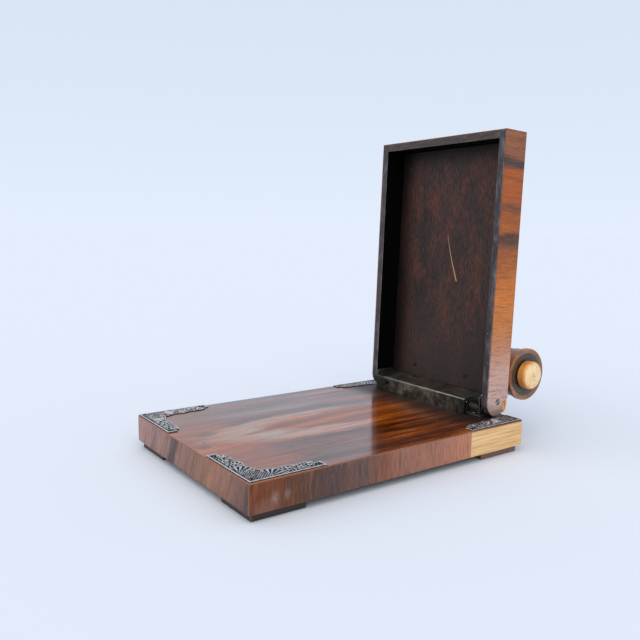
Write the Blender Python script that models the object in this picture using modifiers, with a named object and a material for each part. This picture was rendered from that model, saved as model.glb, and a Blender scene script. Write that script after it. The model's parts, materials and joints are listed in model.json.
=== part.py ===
"""Desk ink blotter: a veneered board on four feet, with silver corners, and a hinged tray lid that carries
a blotting roller behind it. A sprung steel bar at the hinge holds the paper down on the board.

Metres, +Z up. The object stands on z = 0 and is centred on x = 0. Its length runs along Y, hinge at the back (+Y).
The lid is modelled open, resting on its stop. Its pieces, and the roller's, are written in the lid's own axes:
x across, y out through its back and z from the pivot to its far end.
"""

import math

import bmesh
import bpy
from mathutils import Matrix

# Board and feet.
BASE_WIDTH = 0.2104
BASE_LENGTH = 0.300
BASE_THICK = 0.0243
FOOT_HEIGHT = 0.0066
FOOT_WIDTH = 0.0455
FOOT_LENGTH = 0.0485
FOOT_INSET = 0.0035
PATCH_LENGTH = 0.0705
VENEER = 0.0008

# Silver corner mounts.
SILVER_THICK = 0.0004
SILVER_LEG = 0.068
SILVER_BAND = 0.0165
SILVER_LOBE = 0.0022
SILVER_INSET = 0.0006
SILVER_TAB = 0.0041
LOBES_PER_LEG = 3
PIN_HEAD = 0.0011
PIN_SHANK = 0.0005
PIN_LONG = 0.0070
PIN_HOLE = 0.0008
PIN_FROM_EDGE = 0.0050
PIN_FROM_CORNER = 0.0612

# Lid: a shallow tray without a wall at its hinge end.
LID_WIDTH = 0.1705
LID_REACH = 0.2568
LID_THICK = 0.0288
LID_WALL = 0.0080
PANEL_THICK = 0.0030
LID_TILT = math.radians(1.75)
HINGE_FROM_REAR = 0.0130
HINGE_HEIGHT = 0.0460

# Roller behind the lid.
ROLLER_UP = 0.0238
ROLLER_OUT = 0.0272
DRUM_RADIUS = 0.0232
DRUM_HALF = 0.0668
WHEEL_RADIUS = 0.0260
WHEEL_BODY_RADIUS = 0.0243
WHEEL_INNER = 0.0698
WHEEL_OUTER = 0.0850
BUTTON_RADIUS = 0.0140
BUTTON_END = 0.0940
SPINDLE_RADIUS = 0.0030
WHEEL_RIM = 0.0045
RECESS_DEEP = 0.0018
RECESS_RADIUS = 0.0204
FACING_THICK = 0.0010
BRACKET_SHEET = 0.0018
BRACKET_WIDTH = 0.0160
BRACKET_LOW = 0.0095
BRACKET_ROUND = 0.0070
BRACKET_EAR = 0.0674
BRACKET_FOOT_INNER = 0.0260
BRACKET_SCREW_UP = 0.0150
BRACKET_SCREW_X = {"left": 0.0415, "right": 0.0325}

# Steel paper clamp and the ears that carry it and the lid.
SHEET = 0.0012
EAR_SHEET = 0.0014
EAR_FACE = 0.0758
EAR_FRONT = 0.0150
EAR_BACK = 0.0090
EAR_ABOVE_PIVOT = 0.0055
EAR_FOOT_INNER = 0.0430
EAR_FLANGE_INNER = 0.0450
EAR_SCREW_X = (0.0485, 0.0665)
REAR_MOUNT_CLEAR = 0.0194
PIVOT_SHANK = 0.0020
PIVOT_HEAD = 0.0032
PIVOT_HEAD_HIGH = 0.0011
CLAMP_FRONT = 0.0190
CLAMP_HIGH = 0.0156
CLAMP_RISE = 0.0022
CLAMP_BEND = 0.0016
CLAMP_HALF = 0.0602
CLAMP_TAB_END = 0.0732
CLAMP_DEPTH = 0.0256
EYE_X = 0.0555
EYE_UP = 0.0105
EYE_RADIUS = 0.0018
ROD_FRONT = 0.0105
ROD_UP = 0.0081
ROD_RADIUS = 0.0020
ROD_PROUD = 0.0004
SPRING_RADIUS = 0.0035
SPRING_WIRE = 0.0006
SPRING_CLEAR = 0.0022
SPRING_LEG = 0.0036

GAP = 0.0002
RUNNING_GAP = 0.0003

BASE_TOP = FOOT_HEIGHT + BASE_THICK
HALF_LID = LID_THICK / 2
ROLLER_Y = HALF_LID + ROLLER_OUT
# How far the roller's wheels pass the board's rear edge: the board sits forward by half of it, so that the
# origin is the middle of the whole object.
ROLLER_REACH = (
    WHEEL_RADIUS - HINGE_FROM_REAR + ROLLER_Y * math.cos(LID_TILT) + ROLLER_UP * math.sin(LID_TILT)
)
REAR_Y = BASE_LENGTH / 2 - ROLLER_REACH / 2
FRONT_Y = REAR_Y - BASE_LENGTH
HINGE_Y = REAR_Y - HINGE_FROM_REAR
CLAMP_FRONT_Y = HINGE_Y - CLAMP_FRONT
CLAMP_TOP = BASE_TOP + CLAMP_HIGH
ROD_Y = HINGE_Y - ROD_FRONT
ROD_Z = BASE_TOP + ROD_UP

for old in list(bpy.data.objects):
    bpy.data.objects.remove(old)
parts = bpy.data.collections.new("ink_blotter")
cutters = bpy.data.collections.new("cutters")
bpy.context.scene.collection.children.link(parts)
bpy.context.scene.collection.children.link(cutters)


def material(name, colour, roughness, metallic=0.0):
    made = bpy.data.materials.new(name)
    made.use_nodes = True
    shader = made.node_tree.nodes["Principled BSDF"]
    shader.inputs["Base Color"].default_value = (*colour, 1.0)
    shader.inputs["Roughness"].default_value = roughness
    shader.inputs["Metallic"].default_value = metallic
    return made


walnut = material("french_polished_walnut", (0.16, 0.062, 0.028), 0.25)
banding = material("crossbanded_walnut", (0.19, 0.075, 0.045), 0.4)
pine = material("pine_core", (0.45, 0.30, 0.16), 0.7)
oak = material("oak_patch", (0.72, 0.50, 0.25), 0.55)
stained = material("dark_stained_beech", (0.030, 0.017, 0.013), 0.6)
foot_wood = material("ebonised_feet", (0.045, 0.025, 0.018), 0.5)
silver = material("silver", (0.62, 0.62, 0.60), 0.3, 1.0)
steel = material("patinated_steel", (0.10, 0.095, 0.085), 0.5, 1.0)
bright_steel = material("bright_steel", (0.45, 0.44, 0.42), 0.35, 1.0)
amber = material("amber_phenolic", (0.42, 0.16, 0.04), 0.25)
butterscotch = material("butterscotch_phenolic", (0.80, 0.50, 0.20), 0.25)
facing = material("dark_facing", (0.030, 0.020, 0.014), 0.5)
drum_wood = material("drum_walnut", (0.20, 0.085, 0.040), 0.45)


def place(made, name, look, parent=None):
    """Puts an object into the object's collection, with its one material."""
    made.name = name
    made.data.name = name
    made.data.materials.clear()
    made.data.materials.append(look)
    parts.objects.link(made)
    made.parent = parent
    return made


def cutter(made, name):
    made.name = name
    made.hide_render = True
    made.display_type = "WIRE"
    cutters.objects.link(made)
    return made


def box_object(low, high):
    """A box between two corners, with its origin at the parent's."""
    mesh = bpy.data.meshes.new("box")
    shape = bmesh.new()
    bmesh.ops.create_cube(shape, size=1.0)
    for vert in shape.verts:
        for i in range(3):
            vert.co[i] = high[i] if vert.co[i] > 0 else low[i]
    shape.to_mesh(mesh)
    shape.free()
    return bpy.data.objects.new("box", mesh)


def soften(made, width, segments=2):
    bevel = made.modifiers.new("soft_edges", "BEVEL")
    bevel.width = width
    bevel.segments = segments
    bevel.limit_method = "ANGLE"
    bevel.angle_limit = math.radians(50)


def box(name, low, high, look, parent=None, edge=0.0):
    made = place(box_object(low, high), name, look, parent)
    if edge:
        soften(made, edge)
    return made


def arc(centre, radius, start, end, count):
    """Points on a circle, from one angle to another in degrees."""
    angles = [math.radians(start + (end - start) * i / count) for i in range(count + 1)]
    return [(centre[0] + radius * math.cos(a), centre[1] + radius * math.sin(a)) for a in angles]


def plate_object(outline, thick):
    """A flat outline in XY, filled and given a thickness about z = 0, as a closed mesh."""
    curve = bpy.data.curves.new("outline", "CURVE")
    curve.dimensions = "2D"
    curve.fill_mode = "BOTH"
    curve.extrude = thick / 2
    line = curve.splines.new("POLY")
    line.points.add(len(outline) - 1)
    for point, (x, y) in zip(line.points, outline):
        point.co = (x, y, 0.0, 1.0)
    line.use_cyclic_u = True
    guide = bpy.data.objects.new("outline", curve)
    bpy.context.scene.collection.objects.link(guide)
    graph = bpy.context.evaluated_depsgraph_get()
    mesh = bpy.data.meshes.new_from_object(guide.evaluated_get(graph))
    bpy.data.objects.remove(guide)
    shape = bmesh.new()
    shape.from_mesh(mesh)
    bmesh.ops.remove_doubles(shape, verts=shape.verts, dist=1e-6)
    bmesh.ops.recalc_face_normals(shape, faces=shape.faces)
    shape.to_mesh(mesh)
    shape.free()
    return bpy.data.objects.new("plate", mesh)


def side_plate_object(outline, low_x, high_x):
    """A plate that stands in the YZ plane between two places in x: the outline is in (y, z)."""
    made = plate_object(outline, high_x - low_x)
    turn = Matrix(((0, 0, 1, (low_x + high_x) / 2), (1, 0, 0, 0), (0, 1, 0, 0), (0, 0, 0, 1)))
    made.data.transform(turn)
    return made


def turned_object(profile, closed, steps):
    """A turned shape about Z from (radius, z) points, which run down its outer side."""
    mesh = bpy.data.meshes.new("turned")
    shape = bmesh.new()
    verts = [shape.verts.new((radius, 0.0, z)) for radius, z in profile]
    for first, second in zip(verts, verts[1:]):
        shape.edges.new((first, second))
    if closed:
        shape.edges.new((verts[-1], verts[0]))
    shape.to_mesh(mesh)
    shape.free()
    made = bpy.data.objects.new("turned", mesh)
    screw = made.modifiers.new("turn", "SCREW")
    screw.steps = steps
    screw.render_steps = steps
    screw.use_merge_vertices = True
    screw.merge_threshold = 1e-6
    screw.use_smooth_shade = True
    return made


def turned(name, profile, look, parent=None, at=(0, 0, 0), side=0, closed=True, steps=48):
    """side 0 keeps the turning axis upright, 1 points it along +X and -1 along -X."""
    made = place(turned_object(profile, closed, steps), name, look, parent)
    made.location = at
    made.rotation_euler = (0.0, side * math.pi / 2, 0.0)
    return made


def rod_cutter(name, radius, low, high, at, axis="X", steps=20):
    """A cylinder that cuts a hole along an axis, from low to high on it."""
    profile = [(0.0, high), (radius, high), (radius, low), (0.0, low)]
    made = cutter(turned_object(profile, False, steps), name)
    made.location = at
    if axis == "X":
        made.rotation_euler = (0.0, math.pi / 2, 0.0)
    elif axis == "Y":
        made.rotation_euler = (-math.pi / 2, 0.0, 0.0)
    return made


def cut(made, tool, parent=None):
    if parent:
        tool.parent = parent
    boolean = made.modifiers.new("cut_" + tool.name, "BOOLEAN")
    boolean.operation = "DIFFERENCE"
    boolean.solver = "EXACT"
    boolean.object = tool


def join(made, tool, parent=None):
    if parent:
        tool.parent = parent
    boolean = made.modifiers.new("join_" + tool.name, "BOOLEAN")
    boolean.operation = "UNION"
    boolean.solver = "EXACT"
    boolean.object = tool


def slotted_screw(name, shank, head, long, head_high, look, at, turn, parent=None, slot_turn=0.0):
    """A slotted screw whose head stands on the surface at `at`. `turn` points its head."""
    profile = [
        (0.0, head_high),
        (head * 0.72, head_high),
        (head, head_high * 0.45),
        (head, 0.0),
        (shank, 0.0),
        (shank, -long * 0.85),
        (0.0, -long),
    ]
    made = place(turned_object(profile, False, 16), name, look, parent)
    made.location = at
    made.rotation_euler = turn
    slot = box_object(
        (-head * 1.5, -head * 0.13, head_high * 0.4), (head * 1.5, head * 0.13, head_high * 2)
    )
    cutter(slot, name + "_slot")
    slot.parent = made
    slot.rotation_euler = (0.0, 0.0, slot_turn)
    cut(made, slot)
    return made


def build_base():
    half_w = BASE_WIDTH / 2
    core_low = (-half_w + VENEER + GAP, FRONT_Y + VENEER + GAP, FOOT_HEIGHT + GAP)
    core_high = (half_w - VENEER - GAP, REAR_Y - VENEER - GAP, BASE_TOP - VENEER - GAP)
    core = box("base_core", core_low, core_high, pine)
    top_low = (-half_w, FRONT_Y, BASE_TOP - VENEER)
    top = box("base_top_veneer", top_low, (half_w, REAR_Y, BASE_TOP), walnut)

    low_z = FOOT_HEIGHT + GAP
    high_z = BASE_TOP - VENEER - GAP
    inner = half_w - VENEER - GAP
    patch_y = REAR_Y - PATCH_LENGTH
    box("front_banding", (-inner, FRONT_Y, low_z), (inner, FRONT_Y + VENEER, high_z), banding)
    box("rear_banding", (-inner, REAR_Y - VENEER, low_z), (inner, REAR_Y, high_z), banding)
    box("left_banding", (-half_w, FRONT_Y, low_z), (VENEER - half_w, REAR_Y, high_z), banding)
    right_low = (half_w - VENEER, FRONT_Y, low_z)
    box("right_banding", right_low, (half_w, patch_y - GAP, high_z), banding)
    box("oak_edge_patch", (half_w - VENEER, patch_y, low_z), (half_w, REAR_Y, high_z), oak)

    for end, y in (("front", FRONT_Y + FOOT_INSET), ("rear", REAR_Y - FOOT_INSET - FOOT_LENGTH)):
        for hand, sign in (("left", -1), ("right", 1)):
            outer = sign * (half_w - FOOT_INSET)
            inner_x = outer - sign * FOOT_WIDTH
            low = (min(outer, inner_x), y, 0.0)
            high = (max(outer, inner_x), y + FOOT_LENGTH, FOOT_HEIGHT - GAP)
            box(f"foot_{end}_{hand}", low, high, foot_wood, edge=0.0006)
    return core, top


def silver_outline(sign_x, sign_y):
    """One L of a corner mount: plain outer edges, squared leg ends and a scalloped inner edge."""
    leg = []
    steps = 5 * LOBES_PER_LEG
    tab_start = SILVER_LEG - SILVER_TAB
    for i in range(steps + 1):
        share = i / steps
        along = tab_start - (tab_start - SILVER_BAND * 1.1) * share
        width = SILVER_BAND - 0.0035 * (1 - share)
        leg.append((along, width + SILVER_LOBE * abs(math.sin(math.pi * LOBES_PER_LEG * share))))
    tab = SILVER_BAND * 0.55
    outline = [(0.0, 0.0), (SILVER_LEG, 0.0), (SILVER_LEG, tab), (tab_start, tab)]
    outline += leg
    outline += [(y, x) for x, y in reversed(leg)]
    outline += [(tab, tab_start), (tab, SILVER_LEG), (0.0, SILVER_LEG)]
    corner_x = sign_x * (BASE_WIDTH / 2 - SILVER_INSET)
    corner_y = REAR_Y - SILVER_INSET if sign_y > 0 else FRONT_Y + SILVER_INSET
    return [(corner_x - sign_x * x, corner_y - sign_y * y) for x, y in outline]


def build_corners(core, top):
    """Four mounts, each held by three round-headed pins driven into the board."""
    holes = bpy.data.collections.new("pin_holes")
    cutters.children.link(holes)
    for end, sign_y in (("front", -1), ("rear", 1)):
        for hand, sign_x in (("left", -1), ("right", 1)):
            name = f"{end}_{hand}"
            plate = plate_object(silver_outline(sign_x, sign_y), SILVER_THICK)
            plate.location.z = BASE_TOP + GAP / 2 + SILVER_THICK / 2
            place(plate, f"silver_corner_{name}", silver)
            corner_x = sign_x * BASE_WIDTH / 2
            corner_y = REAR_Y if sign_y > 0 else FRONT_Y
            near, far = PIN_FROM_EDGE, PIN_FROM_CORNER
            for place_name, dx, dy in (("tip", near, near), ("side", near, far), ("end", far, near)):
                x = corner_x - sign_x * dx
                y = corner_y - sign_y * dy
                at = (x, y, BASE_TOP)
                hole = rod_cutter(f"hole_{name}_{place_name}", PIN_HOLE, -0.008, 0.004, at, "Z", 8)
                cutters.objects.unlink(hole)
                holes.objects.link(hole)
                z = BASE_TOP + GAP * 1.5 + SILVER_THICK
                profile = [(0.0, 0.0004), (PIN_HEAD * 0.7, 0.00025), (PIN_HEAD, 0.0), (PIN_SHANK, 0.0)]
                profile += [(0.0, -PIN_LONG)]
                turned(f"pin_{name}_{place_name}", profile, silver, at=(x, y, z), closed=False, steps=8)
            drill(plate, holes)
    drill(core, holes)
    drill(top, holes)


def drill(made, holes):
    boolean = made.modifiers.new("drill_" + holes.name, "BOOLEAN")
    boolean.operation = "DIFFERENCE"
    boolean.solver = "EXACT"
    boolean.operand_type = "COLLECTION"
    boolean.collection = holes


def build_ears(core, top):
    """A bent steel ear on each side, screwed to the board. It carries the clamp's rod and the lid's pivot."""
    holes = bpy.data.collections.new("screw_holes")
    cutters.children.link(holes)
    foot_low = BASE_TOP + GAP
    foot_high = foot_low + SHEET
    foot_back = REAR_Y - REAR_MOUNT_CLEAR
    ear_top = HINGE_HEIGHT + EAR_ABOVE_PIVOT
    front = HINGE_Y - EAR_FRONT
    back = HINGE_Y + EAR_BACK
    outline = [(front, foot_low), (foot_back, foot_low), (foot_back + 0.001, foot_low + 0.0024)]
    outline += [(back, foot_low + 0.0034)]
    outline += arc((back - 0.004, ear_top - 0.004), 0.004, 0, 90, 6)
    outline += arc((front + 0.003, ear_top - 0.003), 0.003, 90, 180, 6)
    flange_low = BASE_TOP + 0.0030
    flange_high = ROD_Z + 0.0012
    for hand, sign in (("left", -1), ("right", 1)):
        faces = sorted((sign * EAR_FACE, sign * (EAR_FACE - EAR_SHEET)))
        ear = place(side_plate_object(outline, *faces), f"hinge_ear_{hand}", steel)
        foot_xs = sorted((sign * EAR_FOOT_INNER, sign * (EAR_FACE + 0.0010)))
        foot = box_object((foot_xs[0], front, foot_low), (foot_xs[1], foot_back, foot_high))
        join(ear, cutter(foot, f"ear_foot_{hand}"))
        flange_xs = sorted((sign * EAR_FLANGE_INNER, sign * (EAR_FACE - EAR_SHEET / 2)))
        flange = box_object(
            (flange_xs[0], back - EAR_SHEET, flange_low), (flange_xs[1], back - 0.0001, flange_high)
        )
        join(ear, cutter(flange, f"ear_flange_{hand}"))
        pivot = (sign * EAR_FACE, HINGE_Y, HINGE_HEIGHT)
        cut(ear, rod_cutter(f"ear_pivot_hole_{hand}", PIVOT_SHANK + GAP, -0.004, 0.004, pivot))
        rod = (sign * EAR_FACE, ROD_Y, ROD_Z)
        cut(ear, rod_cutter(f"ear_rod_hole_{hand}", ROD_RADIUS + GAP, -0.004, 0.004, rod))
        screw_y = (front + foot_back) / 2
        for number, x in enumerate(EAR_SCREW_X, 1):
            at = (sign * x, screw_y, foot_high + GAP)
            name = f"ear_screw_{hand}_{number}"
            slotted_screw(
                name, 0.0011, 0.0023, 0.0105, 0.0010, bright_steel, at, (0, 0, 0), slot_turn=0.6 * number
            )
            hole = rod_cutter("hole_" + name, 0.0014, -0.014, 0.005, at, "Z", 12)
            cutters.objects.unlink(hole)
            holes.objects.link(hole)
        drill(ear, holes)
    drill(core, holes)
    drill(top, holes)


def build_clamp():
    """A bar folded from sheet: lip, top plate and two cheeks on the rod. The plate's left end is the thumb tab."""
    low = BASE_TOP + RUNNING_GAP
    front = CLAMP_FRONT_Y
    back = front + CLAMP_DEPTH
    rise = CLAMP_RISE
    bend = CLAMP_BEND
    lip = [(front, low)]
    lip += arc((front + bend, CLAMP_TOP - bend), bend, 180, 92, 5)
    lip += [(back, CLAMP_TOP + rise), (back, CLAMP_TOP + rise - SHEET)]
    lip += arc((front + bend, CLAMP_TOP - bend), bend - SHEET, 92, 180, 4)
    lip += [(front + SHEET, low)]
    bar = place(side_plate_object(lip, -CLAMP_HALF, CLAMP_HALF), "clamp_bar", steel)

    slope = rise / CLAMP_DEPTH
    tab_front = front + bend
    tab = [
        (tab_front, CLAMP_TOP + 0.00004),
        (back, CLAMP_TOP + slope * (back - tab_front)),
        (back, CLAMP_TOP + slope * (back - tab_front) - SHEET),
        (tab_front, CLAMP_TOP + 0.00004 - SHEET),
    ]
    thumb_tab = side_plate_object(tab, -CLAMP_TAB_END, -CLAMP_HALF + 0.003)
    join(bar, cutter(thumb_tab, "clamp_thumb_tab"))

    cheek_low = BASE_TOP + 0.0030
    cheek_back = back - 0.0010
    cheek = [(front + 0.0006, cheek_low), (ROD_Y + 0.003, cheek_low), (cheek_back, ROD_Z + 0.0022)]
    cheek += [(cheek_back, CLAMP_TOP + rise * 0.6), (front + 0.0006, CLAMP_TOP - 0.0008)]
    for hand, sign in (("left", -1), ("right", 1)):
        faces = sorted((sign * CLAMP_HALF, sign * (CLAMP_HALF - SHEET)))
        flap = cutter(side_plate_object(cheek, *faces), f"clamp_cheek_{hand}")
        join(bar, flap)
        rod = (sign * CLAMP_HALF, ROD_Y, ROD_Z)
        cut(bar, rod_cutter(f"cheek_hole_{hand}", ROD_RADIUS + RUNNING_GAP, -0.004, 0.004, rod))
        eye = (sign * EYE_X, front, BASE_TOP + EYE_UP)
        cut(bar, rod_cutter(f"lip_eye_{hand}", EYE_RADIUS, -0.004, 0.004, eye, "Y", 16))

    length = EAR_FACE + ROD_PROUD
    profile = [(0.0, length), (ROD_RADIUS * 0.8, length), (ROD_RADIUS, EAR_FACE)]
    profile += [(ROD_RADIUS, -EAR_FACE), (ROD_RADIUS * 0.8, -length), (0.0, -length)]
    turned("clamp_rod", profile, bright_steel, at=(0, ROD_Y, ROD_Z), side=1, closed=False, steps=20)


def build_spring(hand, sign):
    """A torsion spring round the rod's end, between the clamp's cheek and the ear."""
    turns, per_turn = 4, 12
    start = CLAMP_HALF + SPRING_CLEAR
    pitch = (EAR_FACE - EAR_SHEET - SPRING_CLEAR - start) / turns
    points = []
    for i in range(turns * per_turn + 1):
        angle = math.pi + 2 * math.pi * i / per_turn
        along = start + pitch * i / per_turn
        points.append((along, SPRING_RADIUS * math.cos(angle), -SPRING_RADIUS * math.sin(angle)))
    along, y, z = points[-1]
    points.append((along, y, z - SPRING_LEG))
    curve = bpy.data.curves.new("spring", "CURVE")
    curve.dimensions = "3D"
    curve.bevel_depth = SPRING_WIRE
    curve.bevel_resolution = 2
    curve.use_fill_caps = True
    line = curve.splines.new("POLY")
    line.points.add(len(points) - 1)
    for point, (x, y, z) in zip(line.points, points):
        point.co = (sign * x, y, z, 1.0)
    made = place(bpy.data.objects.new("spring", curve), f"clamp_spring_{hand}", bright_steel)
    made.location = (0.0, ROD_Y, ROD_Z)


def rail_outline(back):
    """A side rail from the side: straight, with its hinge end rounded about the pivot."""
    top = LID_REACH - VENEER - GAP
    last = 360 - math.degrees(math.acos(back / HALF_LID))
    return [(back, top), (-HALF_LID, top)] + arc((0.0, 0.0), HALF_LID, 180, last, 16)


def build_lid(pivot):
    half = LID_WIDTH / 2
    rail_outer = half - VENEER - GAP
    rail_inner = half - LID_WALL
    back = HALF_LID - VENEER - GAP
    top = LID_REACH - VENEER - GAP
    for hand, sign in (("left", -1), ("right", 1)):
        rail = place(
            side_plate_object(rail_outline(back), *sorted((sign * rail_outer, sign * rail_inner))),
            f"lid_rail_{hand}",
            stained,
            pivot,
        )
        bore = rod_cutter(f"rail_bore_{hand}", PIVOT_SHANK + RUNNING_GAP, -0.02, 0.02, (sign * half, 0, 0))
        cut(rail, bore, pivot)
        seat = rod_cutter(f"rail_seat_{hand}", PIVOT_HEAD + RUNNING_GAP, -0.0018, 0.01, (0, 0, 0))
        seat.rotation_euler = (0.0, sign * math.pi / 2, 0.0)
        seat.location = (sign * half, 0.0, 0.0)
        cut(rail, seat, pivot)
        cheek = [(HALF_LID, LID_REACH), (-HALF_LID, LID_REACH)]
        cheek += arc((0.0, 0.0), HALF_LID, 180, 360, 20)
        leaf = place(
            side_plate_object(cheek, *sorted((sign * half, sign * (half - VENEER)))),
            f"lid_veneer_{hand}",
            banding,
            pivot,
        )
        cut(leaf, seat)

    end_low = LID_REACH - LID_WALL
    inner = rail_inner - GAP
    box("lid_end_rail", (-inner, -HALF_LID, end_low), (inner, back, top), stained, pivot)
    panel_low = (-inner, back - PANEL_THICK, 0.0)
    panel = box("lid_panel", panel_low, (inner, back, end_low - GAP), stained, pivot)
    leaf_x = half - VENEER - GAP
    low = (-leaf_x, HALF_LID - VENEER, 0.0)
    back_leaf = box("lid_veneer_back", low, (leaf_x, HALF_LID, top), walnut, pivot)
    low = (-leaf_x, -HALF_LID, LID_REACH - VENEER)
    box("lid_veneer_end", low, (leaf_x, HALF_LID, LID_REACH), banding, pivot)

    # The lid turns on a screw on each side, which is threaded into the ear and stays with the board.
    shank_end = EAR_FACE - EAR_SHEET - 0.0003
    for hand, sign in (("left", -1), ("right", 1)):
        head_seat = half - 0.0010
        at = (sign * head_seat, HINGE_Y, HINGE_HEIGHT)
        turn = (0.0, sign * math.pi / 2, 0.0)
        long = head_seat - shank_end
        name = f"lid_pivot_screw_{hand}"
        high = PIVOT_HEAD_HIGH
        slotted_screw(name, PIVOT_SHANK, PIVOT_HEAD, long, high, bright_steel, at, turn, slot_turn=0.5)
    return panel, back_leaf


def build_brackets(pivot, panel, back_leaf):
    """A bent steel bracket on each side of the lid's back, held by a screw driven from inside the tray."""
    foot_low = HALF_LID + GAP
    foot_high = foot_low + BRACKET_SHEET
    low_z = BRACKET_LOW
    high_z = low_z + BRACKET_WIDTH
    axis = (ROLLER_Y, ROLLER_UP)
    outline = [(foot_low, high_z), (foot_low, low_z), (foot_high + 0.004, low_z)]
    outline += arc(axis, BRACKET_ROUND, -75, 95, 14)
    screw_z = BRACKET_SCREW_UP
    ear_outer = BRACKET_EAR + BRACKET_SHEET
    for hand, sign in (("left", -1), ("right", 1)):
        ear_faces = sorted((sign * BRACKET_EAR, sign * ear_outer))
        bracket = place(side_plate_object(outline, *ear_faces), f"roller_bracket_{hand}", steel, pivot)
        foot_xs = sorted((sign * BRACKET_FOOT_INNER, sign * ear_outer))
        foot = box_object((foot_xs[0], foot_low, low_z), (foot_xs[1], foot_high, high_z))
        join(bracket, cutter(foot, f"bracket_foot_{hand}"), pivot)
        bore = rod_cutter(
            f"bracket_bore_{hand}", SPINDLE_RADIUS + RUNNING_GAP, -0.01, 0.01, (sign * BRACKET_EAR, *axis)
        )
        cut(bracket, bore, pivot)
        x = sign * BRACKET_SCREW_X[hand]
        hole = rod_cutter(f"bracket_screw_hole_{hand}", 0.0017, -0.02, 0.02, (x, HALF_LID, screw_z), "Y")
        for piece in (bracket, panel, back_leaf):
            cut(piece, hole, pivot)
        head_seat = HALF_LID - VENEER - GAP - PANEL_THICK - GAP
        long = foot_high + 0.0006 - head_seat
        slotted_screw(
            f"bracket_screw_{hand}",
            0.0014,
            0.0021,
            long,
            0.0010,
            bright_steel,
            (x, head_seat, screw_z),
            (math.pi / 2, 0.0, 0.0),
            pivot,
            slot_turn=0.9 * sign,
        )


def build_roller(roller):
    bore = SPINDLE_RADIUS + GAP
    crown = DRUM_RADIUS + 0.0003
    profile = [(bore, DRUM_HALF), (DRUM_RADIUS - 0.001, DRUM_HALF), (DRUM_RADIUS, DRUM_HALF - 0.001)]
    profile += [(crown, 0.02), (crown, -0.02), (DRUM_RADIUS, 0.001 - DRUM_HALF)]
    profile += [(DRUM_RADIUS - 0.001, -DRUM_HALF), (bore, -DRUM_HALF)]
    turned("roller_drum", profile, drum_wood, roller, side=1, steps=36)

    tip = BUTTON_END - 0.0030
    spindle = SPINDLE_RADIUS
    profile = [(0.0, tip), (spindle - 0.0005, tip), (spindle, tip - 0.0005)]
    profile += [(spindle, 0.0005 - tip), (spindle - 0.0005, -tip), (0.0, -tip)]
    turned("roller_spindle", profile, bright_steel, roller, side=1, closed=False, steps=24)

    recess_radius = RECESS_RADIUS
    rim = WHEEL_RIM
    for hand, sign in (("left", -1), ("right", 1)):
        floor = WHEEL_OUTER - RECESS_DEEP
        profile = [(bore, floor), (recess_radius, floor), (recess_radius, WHEEL_OUTER - 0.0004)]
        profile += [(recess_radius + 0.0004, WHEEL_OUTER), (WHEEL_RADIUS - 0.0012, WHEEL_OUTER)]
        profile += [(WHEEL_RADIUS, WHEEL_OUTER - 0.0012), (WHEEL_RADIUS, WHEEL_OUTER - rim + 0.0010)]
        profile += [(WHEEL_RADIUS - 0.0010, WHEEL_OUTER - rim), (WHEEL_BODY_RADIUS, WHEEL_OUTER - rim)]
        profile += [(WHEEL_BODY_RADIUS, WHEEL_INNER + 0.003), (WHEEL_BODY_RADIUS - 0.002, WHEEL_INNER)]
        profile += [(bore, WHEEL_INNER)]
        turned(f"roller_wheel_{hand}", profile, amber, roller, side=sign, steps=40)
        disc_high = floor + GAP + FACING_THICK
        disc_radius = recess_radius - GAP
        profile = [(bore, disc_high), (disc_radius, disc_high), (disc_radius, floor + GAP)]
        profile += [(bore, floor + GAP)]
        turned(f"wheel_facing_{hand}", profile, facing, roller, side=sign, steps=36)
        low = disc_high + GAP
        blind = BUTTON_END - 0.0028
        profile = [(0.0, BUTTON_END), (0.0065, BUTTON_END - 0.0001), (0.0108, BUTTON_END - 0.0006)]
        profile += [(BUTTON_RADIUS - 0.0010, BUTTON_END - 0.0016), (BUTTON_RADIUS, BUTTON_END - 0.0030)]
        profile += [(BUTTON_RADIUS, low + 0.0006), (BUTTON_RADIUS - 0.0006, low), (bore, low)]
        profile += [(bore, blind), (0.0, blind)]
        turned(f"knob_button_{hand}", profile, butterscotch, roller, side=sign, closed=False, steps=36)


core, top = build_base()
build_corners(core, top)
build_ears(core, top)
build_clamp()
build_spring("left", -1)
build_spring("right", 1)

lid_pivot = bpy.data.objects.new("lid_pivot", None)
lid_pivot.location = (0.0, HINGE_Y, HINGE_HEIGHT)
lid_pivot.rotation_euler = (-LID_TILT, 0.0, 0.0)
parts.objects.link(lid_pivot)
lid_panel, lid_back = build_lid(lid_pivot)
build_brackets(lid_pivot, lid_panel, lid_back)

roller_axis = bpy.data.objects.new("roller_axis", None)
roller_axis.parent = lid_pivot
roller_axis.location = (0.0, ROLLER_Y, ROLLER_UP)
parts.objects.link(roller_axis)
build_roller(roller_axis)
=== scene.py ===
"""The looks of a veneered desk blotter with silver corners, a hinged tray lid and a roller, built round its
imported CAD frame. Metres, +Z up; the board's length runs along Y and the lid is hinged at the back (+Y)."""

import json
import math

import bmesh
import bpy
from mathutils import Matrix, Vector, noise


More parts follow.
